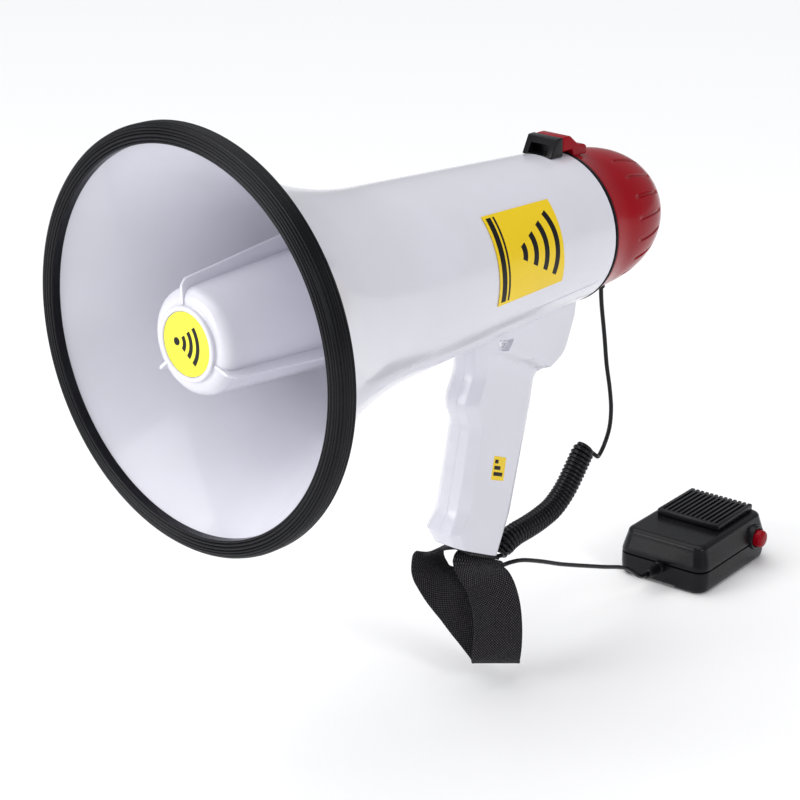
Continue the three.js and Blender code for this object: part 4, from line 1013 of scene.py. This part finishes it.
def strap_piece():
    line = smooth_line([at(*centre) for centre, _ in STRAP_ROUTE], 1.2 * MM)
    counts = [0]
    for (a, _), (b, _) in zip(STRAP_ROUTE, STRAP_ROUTE[1:]):
        counts.append(counts[-1] + max(1, round((Vector(b) - Vector(a)).length / 1.2)))
    widths = [Vector(w).normalized() for _, w in STRAP_ROUTE]
    rows, marks = [], []
    travelled = 0.0
    knot = 0
    half = STRAP_WIDTH / 2
    cross = []
    for side in (1, -1):
        span = [(-half, 0.45), (-half + 0.35, 0.74), (-half + 1.3, 0.78), (-half + 1.7, 0.66)]
        span += [(-half + 1.7 + (STRAP_WIDTH - 3.4) * i / 8, 0.66) for i in range(1, 8)]
        span += [(half - 1.7, 0.66), (half - 1.3, 0.78), (half - 0.35, 0.74), (half, 0.45)]
        cross += [(u * side, v * side) for u, v in span]
    for i, centre in enumerate(line):
        while knot < len(counts) - 2 and i >= counts[knot + 1]:
            knot += 1
        share = min(1.0, (i - counts[knot]) / (counts[knot + 1] - counts[knot]))
        side = widths[knot].lerp(widths[knot + 1], soft_step(share)).normalized()
        ahead = line[min(i + 1, len(line) - 1)] - line[max(i - 1, 0)]
        forward = ahead.normalized()
        side = (side - forward * side.dot(forward)).normalized()
        out = forward.cross(side)
        if i:
            travelled += (centre - line[i - 1]).length / MM
        rows.append([centre + (side * u + out * v) * MM for u, v in cross])
        marks.append([(u, travelled, 0.0) for u, v in cross])
    mesh = skin(rows, round_points=True, ends=True, marks=marks)
    piece = add_piece("wrist_webbing", mesh, MAIN, WEBBING, "wrist_strap", angle=60)


# ---------------------------------- cord ends

def turned_about(profile, centre, direction, steps=96):
    """A profile of (radius, distance) turned about a line through a point."""
    turn_to = direction.to_track_quat("Z", "Y").to_matrix()

    def place(radius, along, turn):
        local = Vector((radius * math.cos(turn), radius * math.sin(turn), along)) * MM
        return centre + turn_to @ local

    return skin(turned_rows(profile, steps, place), round_rows=True, round_points=True)


def gland_piece():
    low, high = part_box("cord_gland")
    top = Vector(((low[0] + high[0]) / 2, (low[1] + high[1]) / 2, high[2]))
    length = (high[2] - low[2]) / MM
    outside = [(5.8, 0), (5.8, 2), (3.4, 2), (3.4, 9)]
    for i in range(4):
        outside += [(3.4 - 0.1 * i, 10 + 1.7 * i), (2.7 - 0.1 * i, 10.3 + 1.7 * i),
                    (2.7 - 0.1 * i, 11.1 + 1.7 * i)]
    profile = [*outside, (2.5, length - 1), (2.1, length), (1.7, length), (1.7, 0)]
    mesh = turned_about(profile, top, Vector((0, 0, -1)))
    add_piece("gland_boot", mesh, CAP, JACKET, "cord_gland")


# ---------------------------------- microphone

MIC_TURN = math.radians(5.3)
MIC_LENGTH, MIC_WIDTH, MIC_HEIGHT, MIC_SPLIT = 90, 68, 33.5, 16
GRILLE_Y = MIC_LENGTH / 2 - 31


def mic_frame():
    """The middle of the microphone's underside, and its across, along and up directions."""
    across = Vector((math.cos(MIC_TURN), math.sin(MIC_TURN), 0))
    along = Vector((-math.sin(MIC_TURN), math.cos(MIC_TURN), 0))
    low, high = (Vector(corner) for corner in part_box("mic_lower_shell"))
    middle = (low + high) / 2
    return Vector((middle.x, middle.y, low.z)), across, along


MIC_AT, MIC_ACROSS, MIC_ALONG = mic_frame()


def mic_point(x, y, z):
    return MIC_AT + (MIC_ACROSS * x + MIC_ALONG * y + Vector((0, 0, z))) * MM


def mic_ring(inset, z, corner=9.0):
    """A rounded rectangle at one height."""
    half_x, half_y = MIC_WIDTH / 2 - inset, MIC_LENGTH / 2 - inset
    r = max(1.0, corner - inset * 0.5)
    points = []
    for sx, sy, start in ((1, -1, -90), (1, 1, 0), (-1, 1, 90), (-1, -1, 180)):
        for i in range(13):
            turn = math.radians(start + 7.5 * i)
            points.append(mic_point(sx * (half_x - r) + r * math.cos(turn),
                                    sy * (half_y - r) + r * math.sin(turn), z))
    return points


def mic_box(x0, x1, y0, y1, z0, z1, radius):
    shape = bmesh.new()
    bmesh.ops.create_cube(shape, size=1)
    for vert in shape.verts:
        vert.co = mic_point(
            x0 + (x1 - x0) * (vert.co.x + 0.5), y0 + (y1 - y0) * (vert.co.y + 0.5),
            z0 + (z1 - z0) * (vert.co.z + 0.5),
        )
    bmesh.ops.bevel(shape, geom=shape.edges[:], offset=radius * MM, segments=3, profile=0.5,
                    affect="EDGES", clamp_overlap=True)
    return mesh_of(shape)


def mic_pieces():
    seam = MIC_SPLIT
    lower = [mic_ring(3.4, 0), mic_ring(2.2, 0.35), mic_ring(1.2, 1.2), mic_ring(0.6, 2.6),
             mic_ring(0.15, 5), mic_ring(0, 8), mic_ring(0, seam - 1.2), mic_ring(0.1, seam - 0.7),
             mic_ring(0.8, seam - 0.3)]
    inner = [mic_ring(2, seam - 0.3), mic_ring(2, 6), mic_ring(5, 2)]
    shell = add_piece("mic_tray", skin(lower + inner, round_points=True, ends=True), CAP,
                      BLACK, "mic_lower_shell")
    carve(shell, mic_box(-12, 12, -MIC_LENGTH / 2 - 2, -MIC_LENGTH / 2 + 5, -2, 2.2, 0.8))
    shade(shell.data, 35)
    top = MIC_HEIGHT
    upper = [mic_ring(0.8, seam + 0.3), mic_ring(0.1, seam + 0.7), mic_ring(0, seam + 1.3),
             mic_ring(0.3, seam + 3.2)]
    upper += [mic_ring(0.3 + (3.2 - 0.3) * i / 6, seam + 3.2 + (top - 3.2 - seam - 3.2) * i / 6)
              for i in range(1, 7)]
    for i in range(1, 9):
        turn = math.radians(90 * i / 8)
        upper.append(mic_ring(3.2 + 4.2 * (1 - math.cos(turn)), top - 3.2 + 3.2 * math.sin(turn)))
    inner = [mic_ring(6.5, top - 2), mic_ring(2.4, seam + 3), mic_ring(2, seam + 0.3)]
    cover = add_piece("mic_cover", skin((upper + inner)[::-1], round_rows=True, round_points=True),
                      CAP, BLACK, "mic_upper_shell")
    # A closed roof under the grille.
    roof = [mic_ring(7.2, top - 1.6), mic_ring(7.0, top - 0.02)]
    add_piece("mic_roof", skin(roof, round_points=True, ends=True), CAP, BLACK)
    return shell, cover


def grille_piece():
    low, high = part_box("mic_grille")
    base = (low[2] - MIC_AT.z) / MM - 0.3
    top = (high[2] - MIC_AT.z) / MM
    half_x, half_y = 24.5, 23.5
    mesh = mic_box(-half_x, half_x, GRILLE_Y - half_y, GRILLE_Y + half_y,
                   base, top, 0.9)
    grille = add_piece("mic_grille_block", mesh, CAP, BLACK, "mic_grille")
    bars = 12
    pitch = 45 / bars
    shape = bmesh.new()
    for i in range(bars):
        x = -22.5 + pitch * (i + 0.5)
        cut = mic_box(x - pitch * 0.27, x + pitch * 0.27, GRILLE_Y - half_y + 2,
                      GRILLE_Y + half_y + 2, top - 2.6, top + 2, 0.3)
        shape.from_mesh(cut)
    carve(grille, mesh_of(shape))
    shade(grille.data, 35)


def relief_piece():
    """The ribbed boot where the cord enters the microphone."""
    end = mic_point(0, -MIC_LENGTH / 2, 13.5)
    outside = [(3, -3.6), (3, 0), (4.6, 0.3), (4.5, 3.4)]
    for i in range(5):
        reach = 4.3 - 0.25 * i
        outside += [(reach - 0.6, 3.9 + 2.2 * i), (reach - 0.6, 4.5 + 2.2 * i), (reach, 4.7 + 2.2 * i),
                    (reach - 0.05, 5.9 + 2.2 * i)]
    profile = [*outside, (2.6, 16), (1.7, 16), (1.7, -3.6)]
    mesh = turned_about(profile, end, -MIC_ALONG)
    add_piece("relief_boot", mesh, CAP, JACKET, "mic_strain_relief")


def button_pieces(shell, cover):
    """The round talk button and its raised collar on the microphone's right side."""
    centre = mic_point(MIC_WIDTH / 2, 27, 19)
    for piece in (shell, cover):
        hole = [(6.6, -8), (6.6, 8), (0, 8), (0, -8)]
        carve(piece, turned_about(hole, centre, MIC_ACROSS, 64))
        shade(piece.data, 35)
    collar = eased([(6.7, -3.5), (6.7, 1.6), (8.4, 1.6), (9.2, -3.5)], 0.5, 3)
    add_piece("talk_collar", turned_about(collar, centre, MIC_ACROSS, 96), CAP, BLACK)
    profile = [(0, -9), (7.4, -9), (7.4, -7.6), (6, -7.6)]
    profile += [(6, 4.6), (5.8, 5.5), (5.2, 6.2), (4.3, 6.65), (2.4, 6.9), (0, 7)]
    add_piece("talk_button", turned_about(profile, centre, MIC_ACROSS), "talk_button",
              RED, "ptt_button")


# ---------------------------------- floor and light

def stage_pieces():
    shape = bmesh.new()
    bmesh.ops.create_grid(shape, x_segments=2, y_segments=2, size=6)
    mesh = mesh_of(shape)
    floor = bpy.data.objects.new("floor", mesh)
    floor.location = (0, 0, FLOOR_Z - 0.0004)
    finish, _, _ = new_finish(
        "pale_floor", base_color=(0.97, 0.97, 0.97, 1), roughness=0.9, specular_ior_level=0.1
    )
    mesh.materials.append(finish)
    bpy.context.collection.objects.link(floor)


def soft_light(name, place, aim, size, power):
    lamp = bpy.data.lights.new(name, "AREA")
    lamp.shape = "RECTANGLE"
    lamp.size, lamp.size_y = size
    lamp.energy = power
    holder = bpy.data.objects.new(name, lamp)
    holder.location = place
    holder.rotation_euler = (Vector(aim) - Vector(place)).to_track_quat("-Z", "Y").to_euler()
    bpy.context.collection.objects.link(holder)


def lights():
    world = bpy.data.worlds.new("studio")
    bpy.context.scene.world = world
    world.use_nodes = True
    sockets = world.node_tree.nodes["Background"].inputs
    sockets["Color"].default_value = (0.96, 0.97, 1, 1)
    sockets["Strength"].default_value = 0.42
    sky = bpy.data.lights.new("overhead", "SUN")
    sky.energy = 1.75
    sky.angle = math.radians(70)
    holder = bpy.data.objects.new("overhead", sky)
    holder.rotation_euler = (math.radians(12), math.radians(-14), 0)
    bpy.context.collection.objects.link(holder)
    soft_light("front", (-0.8, -2.1, 0.65), (0, -0.2, 0.12), (1.3, 1.3), 27)
    soft_light("right", (2.2, -0.2, 1.2), (0, 0.1, 0), (0.5, 1.2), 14)
    bpy.context.scene.view_settings.view_transform = "Standard"


finish_cad_nodes()
cord_piece()
horn_pieces()
rim_pieces()
reflector_pieces()
label_pieces()
cap_pieces()
knob_piece()
latch_pieces()
grip_pieces()
grip_mark()
strap_piece()
gland_piece()
mic_shells = mic_pieces()
grille_piece()
relief_piece()
button_pieces(*mic_shells)
stage_pieces()
lights()
